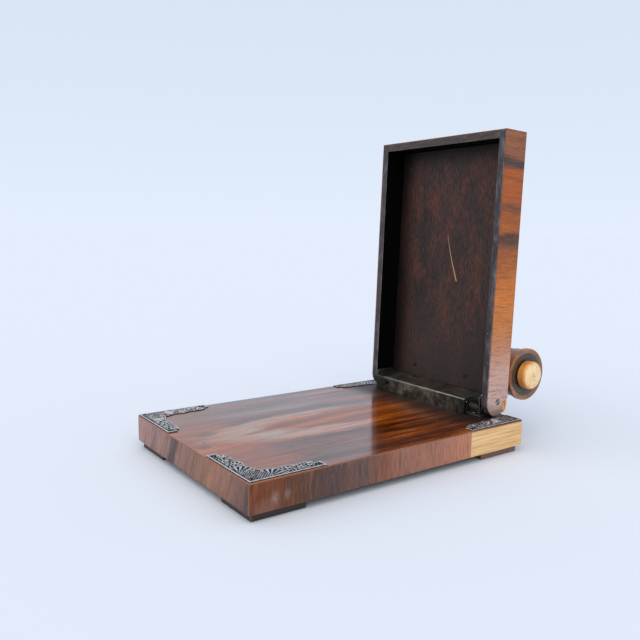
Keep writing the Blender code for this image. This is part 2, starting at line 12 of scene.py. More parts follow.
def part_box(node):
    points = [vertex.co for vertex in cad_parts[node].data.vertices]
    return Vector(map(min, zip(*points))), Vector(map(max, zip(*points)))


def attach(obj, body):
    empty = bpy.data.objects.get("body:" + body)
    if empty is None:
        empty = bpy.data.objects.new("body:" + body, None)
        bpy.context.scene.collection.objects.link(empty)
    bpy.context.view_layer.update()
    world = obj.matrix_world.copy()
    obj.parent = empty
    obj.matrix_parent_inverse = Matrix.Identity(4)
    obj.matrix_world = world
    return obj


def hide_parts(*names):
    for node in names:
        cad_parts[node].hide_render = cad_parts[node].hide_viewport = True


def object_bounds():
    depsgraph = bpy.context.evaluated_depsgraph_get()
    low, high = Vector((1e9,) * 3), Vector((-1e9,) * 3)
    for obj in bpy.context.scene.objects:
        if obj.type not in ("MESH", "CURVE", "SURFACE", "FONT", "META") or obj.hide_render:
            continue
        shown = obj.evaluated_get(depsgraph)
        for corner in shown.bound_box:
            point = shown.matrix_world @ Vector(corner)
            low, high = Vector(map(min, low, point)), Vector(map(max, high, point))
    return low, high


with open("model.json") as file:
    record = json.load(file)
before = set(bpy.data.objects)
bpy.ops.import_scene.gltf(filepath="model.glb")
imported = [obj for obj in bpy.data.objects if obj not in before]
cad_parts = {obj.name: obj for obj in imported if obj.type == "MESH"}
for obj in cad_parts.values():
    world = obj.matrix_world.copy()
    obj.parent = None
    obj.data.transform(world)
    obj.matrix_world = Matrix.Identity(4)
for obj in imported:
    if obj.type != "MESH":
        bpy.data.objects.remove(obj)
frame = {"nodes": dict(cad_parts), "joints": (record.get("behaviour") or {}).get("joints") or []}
cad_low, cad_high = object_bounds()

# ----------------------------------------------------------------------------------------- Board core
# A board of pine, planed flat and glued up. Everything else is glued or screwed to it, and veneer covers its
# faces, so only its underside shows, between the feet.


def linear(code):
    """The linear colour of an sRGB hex value."""
    parts = [int(code[i : i + 2], 16) / 255 for i in (1, 3, 5)]
    return (*[c / 12.92 if c <= 0.04045 else ((c + 0.055) / 1.055) ** 2.4 for c in parts], 1.0)


def wire(node, inputs):
    """Sets a node's inputs: each is a number, a vector, a hex colour, or the node or socket that feeds it."""
    open_sockets = [s for s in node.inputs if s.enabled]
    if not isinstance(inputs, dict):
        inputs = {s.identifier: value for s, value in zip(open_sockets, inputs)}
    for name, value in inputs.items():
        socket = next(s for s in open_sockets if name in (s.identifier, s.name))
        if isinstance(value, str):
            value = linear(value)
        if isinstance(value, bpy.types.Node):
            value = next(s for s in value.outputs if s.enabled)
        if isinstance(value, bpy.types.NodeSocket):
            node.id_data.links.new(value, socket)
        else:
            socket.default_value = value


def add(tree, kind, inputs=(), stops=(), **settings):
    """Adds one node, with its settings, the stops of its ramp if it has one, and its inputs."""
    node = tree.nodes.new("ShaderNode" + kind)
    for name, value in settings.items():
        setattr(node, name, value)
    for i, (place, colour) in enumerate(stops):
        stop = node.color_ramp.elements[i] if i < 2 else node.color_ramp.elements.new(place)
        stop.position = place
        stop.color = linear(colour) if isinstance(colour, str) else (colour, colour, colour, 1.0)
    wire(node, inputs)
    return node


def new_finish(name, **values):
    """A material, with the values that are the same all over it on the shader's own sockets."""
    made = bpy.data.materials.new(name)
    made.use_nodes = True
    shader = made.node_tree.nodes["Principled BSDF"]
    wire(shader, {key.replace("_", " "): value for key, value in values.items()})
    return made, made.node_tree, shader


ALONG_X, ALONG_Y, UPRIGHT = 0, 1, 2


def figure(tree, across_mm, along_mm, axis, detail=3.0, shift=0.0, turn=(0.0, 0.0, 0.0)):
    """Wood figure: noise drawn out along the grain, by the width and the length of one streak in mm."""
    size = [across_mm / 1000] * 3
    size[axis] = along_mm / 1000
    coords = add(tree, "TexCoord").outputs["Object"]
    where = {"Vector": coords, "Location": (shift,) * 3, "Rotation": turn, "Scale": size}
    place = add(tree, "Mapping", where, vector_type="TEXTURE")
    return add(tree, "TexNoise", {"Vector": place, "Scale": 1.0, "Detail": detail, "Roughness": 0.6})


def stain(tree, tone, *layers):
    """Lays colours over a tone. A layer is (colour, share), or (colour, mask, start, end, most) for a share
    that grows from 0 where the mask is at its start to the most where it is at its end."""
    for colour, share, *span in layers:
        if span:
            start, end, most = span
            share = add(tree, "MapRange", [share, start, end, 0.0, most])
        tone = add(tree, "Mix", [share, tone, colour], data_type="RGBA")
    return tone


def dress(shader, tone, rough, relief, depth):
    """Gives a finish its tone, its fine relief, and its roughness: one value, or (mask, low, high)."""
    tree = shader.id_data
    if isinstance(rough, tuple):
        mask, low, high = rough
        rough = add(tree, "MapRange", [mask, 0.3, 0.7, low, high])
    bump = add(tree, "Bump", {"Height": relief, "Distance": depth})
    wire(shader, {"Base Color": tone, "Roughness": rough, "Normal": bump})


def paint(look, *names):
    for name in names:
        mesh = frame["nodes"][name].data
        mesh.materials.clear()
        mesh.materials.append(look)


# Stained pine: brown-black, with its latewood lines about 3 mm apart showing through, and no shine.
stained_pine, tree, shader = new_finish("stained_pine", IOR=1.5, Specular_IOR_Level=0.2)
lines = figure(tree, 3.0, 140.0, ALONG_Y)
tone = add(tree, "ValToRGB", [lines], stops=[(0.35, "#211713"), (0.62, "#110c0a")])
dress(shader, tone, 0.8, lines, 0.00015)
paint(stained_pine, "base_core")

# ----------------------------------------------------------------------------------------- Board's top
# One leaf of figured walnut, 0.8 mm thick, glued down with its grain along the board and French-polished
# with shellac. Years of use have hazed the shellac in long cloudy streaks and rounded the edges.


def slab(low, high):
    """A board between two corners."""
    shape = bmesh.new()
    bmesh.ops.create_cube(shape, size=1.0)
    for vert in shape.verts:
        for i in range(3):
            vert.co[i] = high[i] if vert.co[i] > 0 else low[i]
    return shape


def ease(shape, radius, rows=3, crease=40):
    """Rounds the sharp edges, and marks the middle of each as worn, which the materials read."""
    sharp = [
        edge
        for edge in shape.edges
        if len(edge.link_faces) == 2 and edge.calc_face_angle(0.0) > math.radians(crease)
    ]
    rounded = bmesh.ops.bevel(
        shape, geom=sharp, offset=radius, segments=rows, profile=0.5, affect="EDGES", clamp_overlap=True
    )
    new_faces = set(rounded["faces"])
    worn = shape.verts.layers.float.get("worn") or shape.verts.layers.float.new("worn")
    for vert in shape.verts:
        if vert.link_faces and all(face in new_faces for face in vert.link_faces):
            vert[worn] = 1.0
    return shape


def fit(name, shape, looks, body, stands_for=(), axes=Matrix.Identity(4), crease=35):
    """Makes a piece of a shape with its finishes, ties it to its body and hides the CAD nodes that it stands
    for.
    """
    mesh = bpy.data.meshes.new(name)
    shape.to_mesh(mesh)
    shape.free()
    for look in looks:
        mesh.materials.append(look)
    mesh.shade_smooth()
    mesh.set_sharp_from_angle(angle=math.radians(crease))
    made = bpy.data.objects.new(name, mesh)
    bpy.context.scene.collection.objects.link(made)
    made.modifiers.new("flat_faces", "WEIGHTED_NORMAL").keep_sharp = True
    made.matrix_world = axes
    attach(made, body)
    if stands_for:
        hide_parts(*stands_for)
    return made


def oval(tree, middle, half, soft=0.4):
    """The distance from an oval mark's middle, 1 at its outline, and the mark: 1 inside, 0 outside, with a
    soft edge. A half size of 0 runs right through."""
    scale = [1 / size if size else 0.0 for size in half]
    back = [-place * size for place, size in zip(middle, scale)]
    coords = add(tree, "TexCoord").outputs["Object"]
    place = add(tree, "Mapping", {"Vector": coords, "Location": back, "Scale": scale})
    out = add(tree, "VectorMath", [place], operation="LENGTH").outputs["Value"]
    inside = add(tree, "MapRange", [out, 1.0 - soft, 1.0 + soft, 1.0, 0.0], interpolation_type="SMOOTHSTEP")
    return out, inside


# French-polished walnut: deep orange-brown with near-black streaks and pores under glassy shellac. The
# polish is built up unevenly, so its gloss comes and goes in streaks round a bare oval in the middle.
polished_walnut, tree, shader = new_finish(
    "french_polished_walnut", IOR=1.5, Coat_Roughness=0.09, Coat_IOR=1.5
)
where = add(tree, "SeparateXYZ", [add(tree, "TexCoord").outputs["Object"]])
across, along = where.outputs["X"], where.outputs["Y"]
broad = figure(tree, 13.0, 170.0, ALONG_Y, 3.0, 3.1)
narrow = figure(tree, 2.4, 60.0, ALONG_Y)
pores = figure(tree, 0.9, 11.0, ALONG_Y, 2.0)
cloud = figure(tree, 8.0, 80.0, ALONG_Y, 3.0, 7.7)
worn = add(tree, "Attribute", attribute_name="worn").outputs["Fac"]

# The bare oval: the wood is warm inside it and along the front, and dry and tan just outside its outline;
# the tan, and the greyer sides ahead, are partly painted sheen of the hazed shellac.
from_middle = oval(tree, (0.001, -0.012, 0.0), (0.026, 0.104, 0.0))[0]
wobble = add(tree, "MapRange", [cloud, 0.3, 0.7, -0.22, 0.22])
from_middle = add(tree, "Math", [from_middle, wobble])
warm = add(tree, "MapRange", [from_middle, 1.5, 0.7, 0.0, 0.65])
front = add(tree, "MapRange", [along, -0.105, -0.140, 0.0, 0.8], interpolation_type="SMOOTHSTEP")
warm = add(tree, "Math", [warm, front], operation="MAXIMUM")
off_outline = add(tree, "Math", [from_middle, 1.12], operation="SUBTRACT")
off_outline = add(tree, "Math", [off_outline], operation="ABSOLUTE")
ahead = add(tree, "MapRange", [along, 0.005, -0.035, 0.0, 1.0])
dry_and_sheen, left_side, right_side = [
    add(tree, "Math", [add(tree, "MapRange", span), ahead], operation="MULTIPLY")
    for span in (
        [off_outline, 0.1, 0.42, 0.5, 0.0],
        [across, -0.030, -0.060, 0.0, 0.45],
        [across, 0.040, 0.070, 0.0, 0.3],
    )
]
# Painted shade: the top darkens to near black in front of the clamp bar, where bar and lid shade it. The same
# mask roughens and dulls the polish there.
painted_shade = add(tree, "MapRange", [along, 0.045, 0.084, 0.0, 0.9], interpolation_type="SMOOTHSTEP")
stops = [(0.32, "#260f04"), (0.45, "#542206"), (0.56, "#8a3f0a"), (0.70, "#b86418")]
wood = stain(
    tree,
    add(tree, "ValToRGB", [broad], stops=stops),
    ("#1f0d05", narrow, 0.46, 0.70, 0.75),
    ("#120804", pores, 0.53, 0.70, 0.7),
    ("#a8571d", warm, 0.0, 1.0, 0.55),
    ("#b28e70", dry_and_sheen),
    ("#6a5044", left_side),
    ("#6a4a3c", right_side),
    # Painted shade in front of the clamp bar.
    ("#120805", painted_shade),
)
for middle, half, depth in (
    ((-0.014, -0.151, 0.0), (0.0045, 0.010, 0.0), 0.55),
    ((0.017, -0.168, 0.0), (0.004, 0.006, 0.0), 0.45),
    ((0.0048, -0.163, 0.0), (0.0013, 0.0013, 0.0), 0.9),
):
    wood = stain(tree, wood, ("#2a140c", oval(tree, middle, half)[1], 0.0, 1.0, depth))
smear = oval(tree, (-0.055, -0.054, 0.0), (0.004, 0.060, 0.0), 0.8)[1]
wood = stain(tree, wood, ("#8d8a90", smear, 0.0, 1.0, 0.35), ("#b57a52", worn, 0.0, 1.0, 0.8))

half_out = add(tree, "Math", [from_middle, 0.5], operation="MULTIPLY")
stops = [(0.0, 0.05), (0.38, 0.1), (0.51, 1.0), (0.62, 0.9), (0.78, 0.35), (1.0, 0.55)]
gloss = add(tree, "ValToRGB", [half_out], stops=stops)
for span in (
    [cloud, 0.3, 0.65, 0.35, 1.0],
    [front, 0.0, 1.0, 1.0, 0.5],
    [pores, 0.35, 0.65, 1.15, 0.7],
    [along, 0.0, 0.05, 1.0, 0.55],
    [painted_shade, 0.0, 1.0, 1.0, 0.0],
):
    gloss = add(tree, "Math", [gloss, add(tree, "MapRange", span)], operation="MULTIPLY")
polish = add(tree, "MapRange", [cloud, 0.3, 0.7, 0.11, 0.19])
dull = add(tree, "Math", [add(tree, "MapRange", [painted_shade, 0.0, 1.0, 0.0, 0.4]), polish])
dress(shader, wood, dull, narrow, 0.000012)
wire(shader, {"Coat Weight": gloss})
low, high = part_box("base_top_veneer")
fit("top_leaf", ease(slab(low, high), 0.0003), [polished_walnut], "base", ["base_top_veneer"])

# ----------------------------------------------------------------------------------------- Edge bandings
# Strips of walnut veneer glued round the board's edge with their grain upright. They are polished like the
# top, but light and handling have faded them unevenly, so each strip runs from brown to grey and pink.

RED_STREAKS = ("#43302c", "#b0653a", "#35201a", "#cfa184", "#b98563")


def crossband(name, grain, run, start, end, tones, seed=0.0, turn=(0, 0, 0), blooms=(), streaks=RED_STREAKS):
    """Walnut laid across the edge: tones are (share of the run, colour). The streaks are the colours of the
    dark and pale bands, the dark and pale lines, and the rubbed edge."""
    made, tree, shader = new_finish(name, IOR=1.5, Specular_IOR_Level=0.3)
    coords = add(tree, "TexCoord").outputs["Object"]
    turned_face = add(tree, "Mapping", {"Vector": coords, "Rotation": turn}, vector_type="TEXTURE")
    where = add(tree, "SeparateXYZ", [turned_face])
    drift = figure(tree, 9.0, 26.0, grain, 2.0, seed, turn)
    drift = add(tree, "MapRange", [drift, 0.2, 0.8, -0.0035, 0.0035])
    place = add(tree, "Math", [where.outputs[run], drift])
    place = add(tree, "MapRange", [place, start, end, 0.0, 1.0])
    bands = figure(tree, 4.5, 50.0, grain, 3.0, seed + 5, turn)
    lines = figure(tree, 0.9, 14.0, grain, 3.0, seed + 9, turn)
    ticks = figure(tree, 0.45, 5.0, grain, 2.0, seed + 13, turn)
    worn = add(tree, "Attribute", attribute_name="worn").outputs["Fac"]
    wood = stain(
        tree,
        add(tree, "ValToRGB", [place], stops=tones),
        (streaks[0], bands, 0.52, 0.75, 0.5),
        (streaks[1], bands, 0.46, 0.25, 0.4),
        (streaks[2], lines, 0.50, 0.72, 0.6),
        (streaks[2], ticks, 0.57, 0.70, 0.35),
        (streaks[3], lines, 0.44, 0.25, 0.25),
    )
    for middle, half, most in blooms:
        mottle = add(tree, "TexNoise", {"Vector": coords, "Scale": 700.0, "Detail": 4.0})
        spread = add(tree, "MapRange", [mottle, 0.30, 0.70, 0.3, 1.0])
        bloom = add(tree, "Math", [oval(tree, middle, half, 0.95)[1], spread], operation="MULTIPLY")
        wood = stain(tree, wood, ("#b3acb0", bloom, 0.0, 1.0, most))
    wood = stain(tree, wood, (streaks[4], worn, 0.0, 1.0, 0.55))
    dress(shader, wood, (bands, 0.28, 0.5), lines, 0.00003)
    return made


low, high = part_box("right_banding")
right_tones = [
    (0.0, "#63300f"),
    (0.08, "#743c18"),
    (0.18, "#583624"),
    (0.26, "#553d34"),
    (0.34, "#52403e"),
    (0.40, "#6a4b43"),
    (0.45, "#5d4a48"),
    (0.55, "#83503c"),
    (0.62, "#8f6250"),
    (0.85, "#a06c58"),
    (1.0, "#b97c60"),
]
blooms = [
    ((0.0, -0.156, 0.016), (0.0, 0.0029, 0.0040), 0.32),
    ((0.0, -0.145, 0.0165), (0.0, 0.0024, 0.0034), 0.27),
    ((0.0, -0.164, 0.010), (0.0, 0.0090, 0.0050), 0.14),
]
look = crossband("crossbanded_walnut_right", UPRIGHT, ALONG_Y, low.y, high.y, right_tones, blooms=blooms)
fit("right_band", ease(slab(low, high), 0.00035), [look], "base", ["right_banding"])

# The front's figure leans, so its dark and pale stripes cross the edge aslant.
low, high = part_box("front_banding")
front_tones = [
    (0.0, "#a07a70"),
    (0.10, "#a2786c"),
    (0.18, "#7c5f5a"),
    (0.24, "#9a7060"),
    (0.335, "#7d5b50"),
    (0.36, "#332a2c"),
    (0.39, "#3a2f30"),
    (0.42, "#8b6558"),
    (0.58, "#825a4a"),
    (0.72, "#98684f"),
    (0.88, "#835a47"),
    (1.0, "#4f3a36"),
]
lean = math.radians(24)
middle_z = (low.z + high.z) / 2
start, end = [x * math.cos(lean) - middle_z * math.sin(lean) for x in (low.x, high.x)]
look = crossband("crossbanded_walnut_front", UPRIGHT, ALONG_X, start, end, front_tones, 2.0, (0.0, lean, 0.0))
fit("front_band", ease(slab(low, high), 0.00025), [look], "base", ["front_banding"])

plain_tones = [(0.0, "#7c5040"), (0.35, "#8c6152"), (0.6, "#6a4a40"), (0.8, "#93695a"), (1.0, "#7a5548")]
for name, run in (("left", ALONG_Y), ("rear", ALONG_X)):
    low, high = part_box(name + "_banding")
    look = crossband("crossbanded_walnut_" + name, UPRIGHT, run, low[run], high[run], plain_tones, 4.0)
    fit(name + "_band", ease(slab(low, high), 0.0003), [look], "base", [name + "_banding"])

# Repair let into the right edge at the back: planed oak, never stained, its grain along the board. Pale
# straw with thin dark growth lines about 3.5 mm apart, and a dry satin face.
planed_oak, tree, shader = new_finish("planed_oak", IOR=1.5)
GROWTH_LINE = 0.0036
where = add(tree, "SeparateXYZ", [add(tree, "TexCoord").outputs["Object"]])
worn = add(tree, "Attribute", attribute_name="worn").outputs["Fac"]
sway = add(tree, "MapRange", [figure(tree, 6.0, 60.0, ALONG_Y, 2.0), 0.2, 0.8, -0.0011, 0.0011])
height = add(tree, "Math", [where.outputs["Z"], sway])
rings = add(tree, "Math", [height, GROWTH_LINE], operation="DIVIDE")
rings = add(tree, "Math", [rings], operation="FRACT")
rings = add(tree, "ValToRGB", [rings], stops=[(0.0, 0.0), (0.10, 1.0), (0.2, 0.15), (0.9, 0.0)])
broken = add(tree, "MapRange", [figure(tree, 0.8, 9.0, ALONG_Y, 2.0), 0.3, 0.7, 0.35, 0.9])
rings = add(tree, "Math", [rings, broken], operation="MULTIPLY")
wood = add(tree, "ValToRGB", [figure(tree, 4.0, 50.0, ALONG_Y)], stops=[(0.35, "#e6c08c"), (0.65, "#d2a468")])
wood = stain(tree, wood, ("#96703c", rings), ("#c8a06c", worn, 0.0, 1.0, 0.5))
dress(shader, wood, 0.5, rings, -0.00005)
low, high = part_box("oak_edge_patch")
fit("oak_repair", ease(slab(low, high), 0.0003), [planed_oak], "base", ["oak_edge_patch"])

# ----------------------------------------------------------------------------------------- Feet
# Four square blocks of hardwood, stained dark and glued under the corners. Their bottom edges are rounded
# and rubbed pale where the blotter has been pushed about a desk.


def rubbed(tree, mask, low, high, least, most):
    """How far the edges are rubbed: the worn mark, broken up by a mask."""
    worn = add(tree, "Attribute", attribute_name="worn").outputs["Fac"]
    patchy = add(tree, "MapRange", [mask, low, high, least, most])
    return add(tree, "Math", [worn, patchy], operation="MULTIPLY")


stained_hardwood, tree, shader = new_finish("stained_hardwood_feet", IOR=1.5)
lines = figure(tree, 1.8, 30.0, ALONG_Y)
where = add(tree, "SeparateXYZ", [add(tree, "TexCoord").outputs["Object"]])
wood = stain(
    tree,
    add(tree, "ValToRGB", [lines], stops=[(0.35, "#1c1311"), (0.65, "#372723")]),
    # Painted light: the rear feet are lighter and the front ones darker, as the front ones stand in shade.
    ("#85604f", where.outputs["Y"], 0.03, 0.08, 0.6),
    ("#8a675a", rubbed(tree, lines, 0.35, 0.6, 0.1, 0.6)),
)
dress(shader, wood, 0.45, lines, 0.00005)
for end in ("front", "rear"):
    for hand in ("left", "right"):
        node = f"foot_{end}_{hand}"
        low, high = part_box(node)
        fit(node + "_block", ease(slab(low, high), 0.0009), [stained_hardwood], "base", [node])

# ----------------------------------------------------------------------------------------- Silver corners
# Four L-shaped mounts of thin silver, stamped and chased in relief: a plain raised border, a corner of
# fish scales, a fan of leaves and scrolls along the legs. Their recesses are black with old tarnish.

# The mounts' measures are in mm, along a leg from the corner and across it from its outer edge.
LEG, TAB = 68.0, 4.5
CORNER_WIDE, END_WIDE = 19.0, 9.0
BORDER = 0.9
SCALES_REACH, SCALES_END, SCALE_PITCH = 21.0, 24.0, 2.4
FAN_START, FAN_ROOT, FAN_REACH = 20.0, 2.5, 13.5
SCROLLS, SCROLL_RADIUS = (38.0, 47.5, 57.0), 3.5
SHEET_MM, RELIEF_MM = 0.25, 0.85
# The rear mounts are beaten flatter where the lid's side rails pass close over them.
LOW_RELIEF_MM = 0.2
RAIL_ZONE = (0.0750, 0.0868)


def mount_width(along):
    """How wide a leg is at a distance along it: three lobes, then a square tab that holds the tip's pin."""
    if along > LEG - TAB:
        return END_WIDE
    share = (along - CORNER_WIDE) / (LEG - TAB - CORNER_WIDE)
    taper = 15.4 - 2.8 * share
    lobe = 1.7 * abs(math.sin(3 * math.pi * share))
    fan = 2.4 * max(0.0, 1 - share * 5)
    return taper + lobe + fan


def ridge(place, centre, half):
    """The height of a round ridge."""
    return math.sqrt(max(0.0, 1 - ((place - centre) / half) ** 2))


def chasing(along, across, width):
    """The relief's height, from 0 on the ground to 1: borders, then scales, a fan of leaves, and scrolls."""
    high = ridge(across, BORDER, BORDER)
    high = max(high, ridge(across, 2.6, 0.35) * 0.4, 0.75 * ridge(width - across, 0.6, 0.6))
    if along > LEG - 2.2:
        high = max(high, ridge(LEG - along, BORDER, BORDER))
    if across < 3.0 or width - across < 1.2:
        return high
    if math.hypot(along - 2, across - 2) < SCALES_REACH and along < SCALES_END:
        slope, fall = [math.pi * side / SCALE_PITCH for side in (along + across, along - across)]
        return max(high, 0.95 * abs(math.sin(slope) * math.sin(fall)) ** 0.8)
    reach = math.hypot(along - FAN_START, across - FAN_ROOT)
    turn = math.atan2(across - FAN_ROOT, along - FAN_START)
    if reach < FAN_REACH and turn > 0.1:
        leaf = math.cos(turn * 19 + 0.05 * reach)
        return max(high, math.sqrt(max(0.0, leaf + 0.35)) * (0.65 + 0.35 * reach / FAN_REACH))
    if along > LEG - TAB:
        return max(high, 0.15)
    centre = min(SCROLLS, key=lambda place: abs(along - place))
    hand = -1 if centre == SCROLLS[1] else 1
    middle = 7.6 + 0.6 * hand
    out = math.hypot(along - centre, across - middle) / SCROLL_RADIUS
    turn = math.atan2(across - middle, along - centre)
    if out < 1:
        coil = math.cos(2 * math.pi * 1.35 * out - hand * turn)
        return max(high, 0.9 * math.sqrt(max(0.0, coil + 0.1)))
    leaf = math.cos(9 * turn + hand * 4.2 * out)
    return max(high, 0.85 * math.sqrt(max(0.0, leaf + 0.1)) * min(1.0, 1.9 / out))


def corner_mount(node, sign_x, sign_y):
    """The chased sheet as a closed mesh: two halves that meet on the corner's diagonal."""
    low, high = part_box(node)
    corner = Vector((high.x if sign_x > 0 else low.x, high.y if sign_y > 0 else low.y, low.z))
    shape = bmesh.new()
    tarnish = shape.verts.layers.float.new("raised")
    columns, rows = 150, 46
    for swap in (False, True):
        grid = []
        for i in range(columns + 1):
            line = []
            for j in range(rows + 1):
                share = i / columns
                width = mount_width(CORNER_WIDE + share * (LEG - CORNER_WIDE))
                width = CORNER_WIDE + (width - CORNER_WIDE) * min(1.0, share * 12)
                across = width * j / rows
                along = across + share * (LEG - across)
                tall = chasing(along, across, width)
                side, end = (across, along) if swap else (along, across)
                spot = corner + Vector((-sign_x * side / 1000, -sign_y * end / 1000, 0.0))
                under_rail = sign_y > 0 and RAIL_ZONE[0] < abs(spot.x) < RAIL_ZONE[1]
                spot.z += (SHEET_MM + (LOW_RELIEF_MM if under_rail else RELIEF_MM) * tall) / 1000
                vert = shape.verts.new(spot)
                vert[tarnish] = tall
                under = shape.verts.new((spot.x, spot.y, corner.z))
                line.append((vert, under))
            grid.append(line)
        for i in range(columns):
            for j in range(rows):
                a, b, c, d = grid[i][j], grid[i + 1][j], grid[i + 1][j + 1], grid[i][j + 1]
                shape.faces.new((a[0], b[0], c[0], d[0]))
                shape.faces.new((a[1], d[1], c[1], b[1]))
        rim = [grid[i][0] for i in range(columns + 1)] + [grid[columns][j] for j in range(1, rows + 1)]
        rim += [grid[i][rows] for i in range(columns - 1, -1, -1)]
        for first, second in zip(rim, rim[1:]):
            shape.faces.new((first[0], first[1], second[1], second[0]))
    bmesh.ops.remove_doubles(shape, verts=shape.verts, dist=2e-6)
    bmesh.ops.recalc_face_normals(shape, faces=shape.faces)
    return shape


# Chased silver: bright worn tops and black sulphide in the ground, so the ornament reads light on dark. The
# rear mounts are darker with painted shade under the lid.
silver, tree, shader = new_finish("chased_silver")
raised = add(tree, "Attribute", attribute_name="raised").outputs["Fac"]
coords = add(tree, "TexCoord").outputs["Object"]
blotch = add(tree, "TexNoise", {"Vector": coords, "Scale": 260.0, "Detail": 4.0})
# Painted shade: the mounts grow darker toward the back, under the lid.
rear_shade = add(tree, "MapRange", [add(tree, "SeparateXYZ", [coords]).outputs["Y"], 0.0, 0.08, 0.0, 0.08])
clean = add(tree, "Math", [raised, add(tree, "MapRange", [blotch, 0.3, 0.7, -0.22, 0.16])])
clean = add(tree, "Math", [clean, rear_shade], operation="SUBTRACT")
clean = add(tree, "MapRange", [clean, 0.28, 0.70, 0.0, 1.0], interpolation_type="SMOOTHSTEP")
tone = add(tree, "Mix", [clean, "#1d1c1f", "#d2cdca"], data_type="RGBA")
dress(shader, tone, add(tree, "MapRange", [clean, 0.0, 1.0, 0.6, 0.24]), blotch, 0.00002)
wire(shader, {"Metallic": add(tree, "MapRange", [clean, 0.0, 1.0, 0.55, 1.0])})
for end, sign_y in (("front", -1), ("rear", 1)):
    for hand, sign_x in (("left", -1), ("right", 1)):
        node = f"silver_corner_{end}_{hand}"
        shape = corner_mount(node, sign_x, sign_y)
        fit(f"mount_{end}_{hand}", shape, [silver], "base", [node], crease=80)

# Pins: small round-headed iron pins driven through each mount at the corner and near both tips. Their heads
# have rusted nearly black.
rusted_iron, tree, shader = new_finish("rusted_iron_pins", Metallic=0.6)
coords = add(tree, "TexCoord").outputs["Object"]
rust = add(tree, "TexNoise", {"Vector": coords, "Scale": 900.0, "Detail": 3.0})
tone = add(tree, "ValToRGB", [rust], stops=[(0.35, "#1b1716"), (0.7, "#4a3a32")])
dress(shader, tone, 0.6, rust, 0.00003)


def turned(profile, steps=96):
    """A shape turned about X from (along, radius) points, closed unless they start on the axis."""
    shape = bmesh.new()
    verts = [shape.verts.new((along, 0.0, radius)) for along, radius in profile]
    pairs = list(zip(verts, verts[1:]))
    if profile[0][1] > 0:
        pairs.append((verts[-1], verts[0]))
    edges = [shape.edges.new(pair) for pair in pairs]
    bmesh.ops.spin(shape, geom=verts + edges, axis=(1, 0, 0), cent=(0, 0, 0), angle=2 * math.pi, steps=steps)
    bmesh.ops.remove_doubles(shape, verts=shape.verts, dist=1e-7)
    bmesh.ops.recalc_face_normals(shape, faces=shape.faces)
    return shape


def arc(centre, radius, start, end, count):
    """Points on a circle, from one angle to another in degrees."""
    angles = [math.radians(start + (end - start) * i / count) for i in range(count + 1)]
    return [(centre[0] + radius * math.cos(a), centre[1] + radius * math.sin(a)) for a in angles]


POINT_UP = Matrix.Rotation(-math.pi / 2, 4, "Y")
PIN_LIFT = 0.0006
for corner in ("front_left", "front_right", "rear_left", "rear_right"):
    for place in ("tip", "side", "end"):
        node = f"pin_{corner}_{place}"
        low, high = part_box(node)
        head, shank = (high.x - low.x) / 2, low.z - high.z
        rises = [math.radians(15 * i) for i in range(6)]
        dome = [(head * 0.55 * math.sin(a), head * math.cos(a)) for a in rises]
        profile = [(head * 0.55, 0.0)] + dome[::-1]
        profile += [(0.0, head * 0.4), (shank, head * 0.35), (shank - 0.0005, 0.0)]
        middle = (low + high) / 2
        axes = Matrix.Translation((middle.x, middle.y, high.z + PIN_LIFT - head * 0.3)) @ POINT_UP
        fit(node + "_head", turned(profile, 24), [rusted_iron], "base", [node], axes)

# ----------------------------------------------------------------------------------------- Hinge ears
# Each ear is bent from 1.4 mm sheet steel: an upright face that carries the clamp's rod and the lid's pivot,
# a foot screwed to the board and a flange behind. Cold-blackened, then rubbed grey along its edges.


def prism(outline, low, high):
    """A plate that stands across X, with its outline as (y, z) points."""
    shape = bmesh.new()
    face = shape.faces.new([shape.verts.new((low, y, z)) for y, z in outline])
    made = bmesh.ops.extrude_face_region(shape, geom=[face])
    moved = [item for item in made["geom"] if isinstance(item, bmesh.types.BMVert)]
    bmesh.ops.translate(shape, verts=moved, vec=(high - low, 0, 0))
    bmesh.ops.recalc_face_normals(shape, faces=shape.faces)
    return shape


def gather(shapes):
    """Several shapes as the shells of one."""
    whole = bmesh.new()
    whole.verts.layers.float.new("worn")
    for shape in shapes:
        mesh = bpy.data.meshes.new("part")
        shape.to_mesh(mesh)
        shape.free()
        whole.from_mesh(mesh)
        bpy.data.meshes.remove(mesh)
    return whole


# Blackened sheet steel: brown-grey patina in soft clouds, specks of rust, and bare metal on the arrises.
def blackened(name, dark, light, bare, seed):
    made, tree, shader = new_finish(name)
    coords = add(tree, "TexCoord").outputs["Object"]
    cloud = add(tree, "TexNoise", {"Vector": coords, "Scale": 70.0 + seed, "Detail": 5.0, "Roughness": 0.65})
    speck = add(tree, "TexNoise", {"Vector": coords, "Scale": 700.0, "Detail": 2.0})
    rub = rubbed(tree, cloud, 0.3, 0.6, 0.35, 1.0)
    tone = add(tree, "ValToRGB", [cloud], stops=[(0.32, dark), (0.68, light)])
    tone = stain(tree, tone, ("#5e4232", speck, 0.62, 0.72, 0.5), (bare, rub))
    dress(shader, tone, (cloud, 0.36, 0.6), speck, 0.00003)
    wire(shader, {"Metallic": add(tree, "MapRange", [rub, 0.0, 1.0, 0.75, 1.0])})
    return made


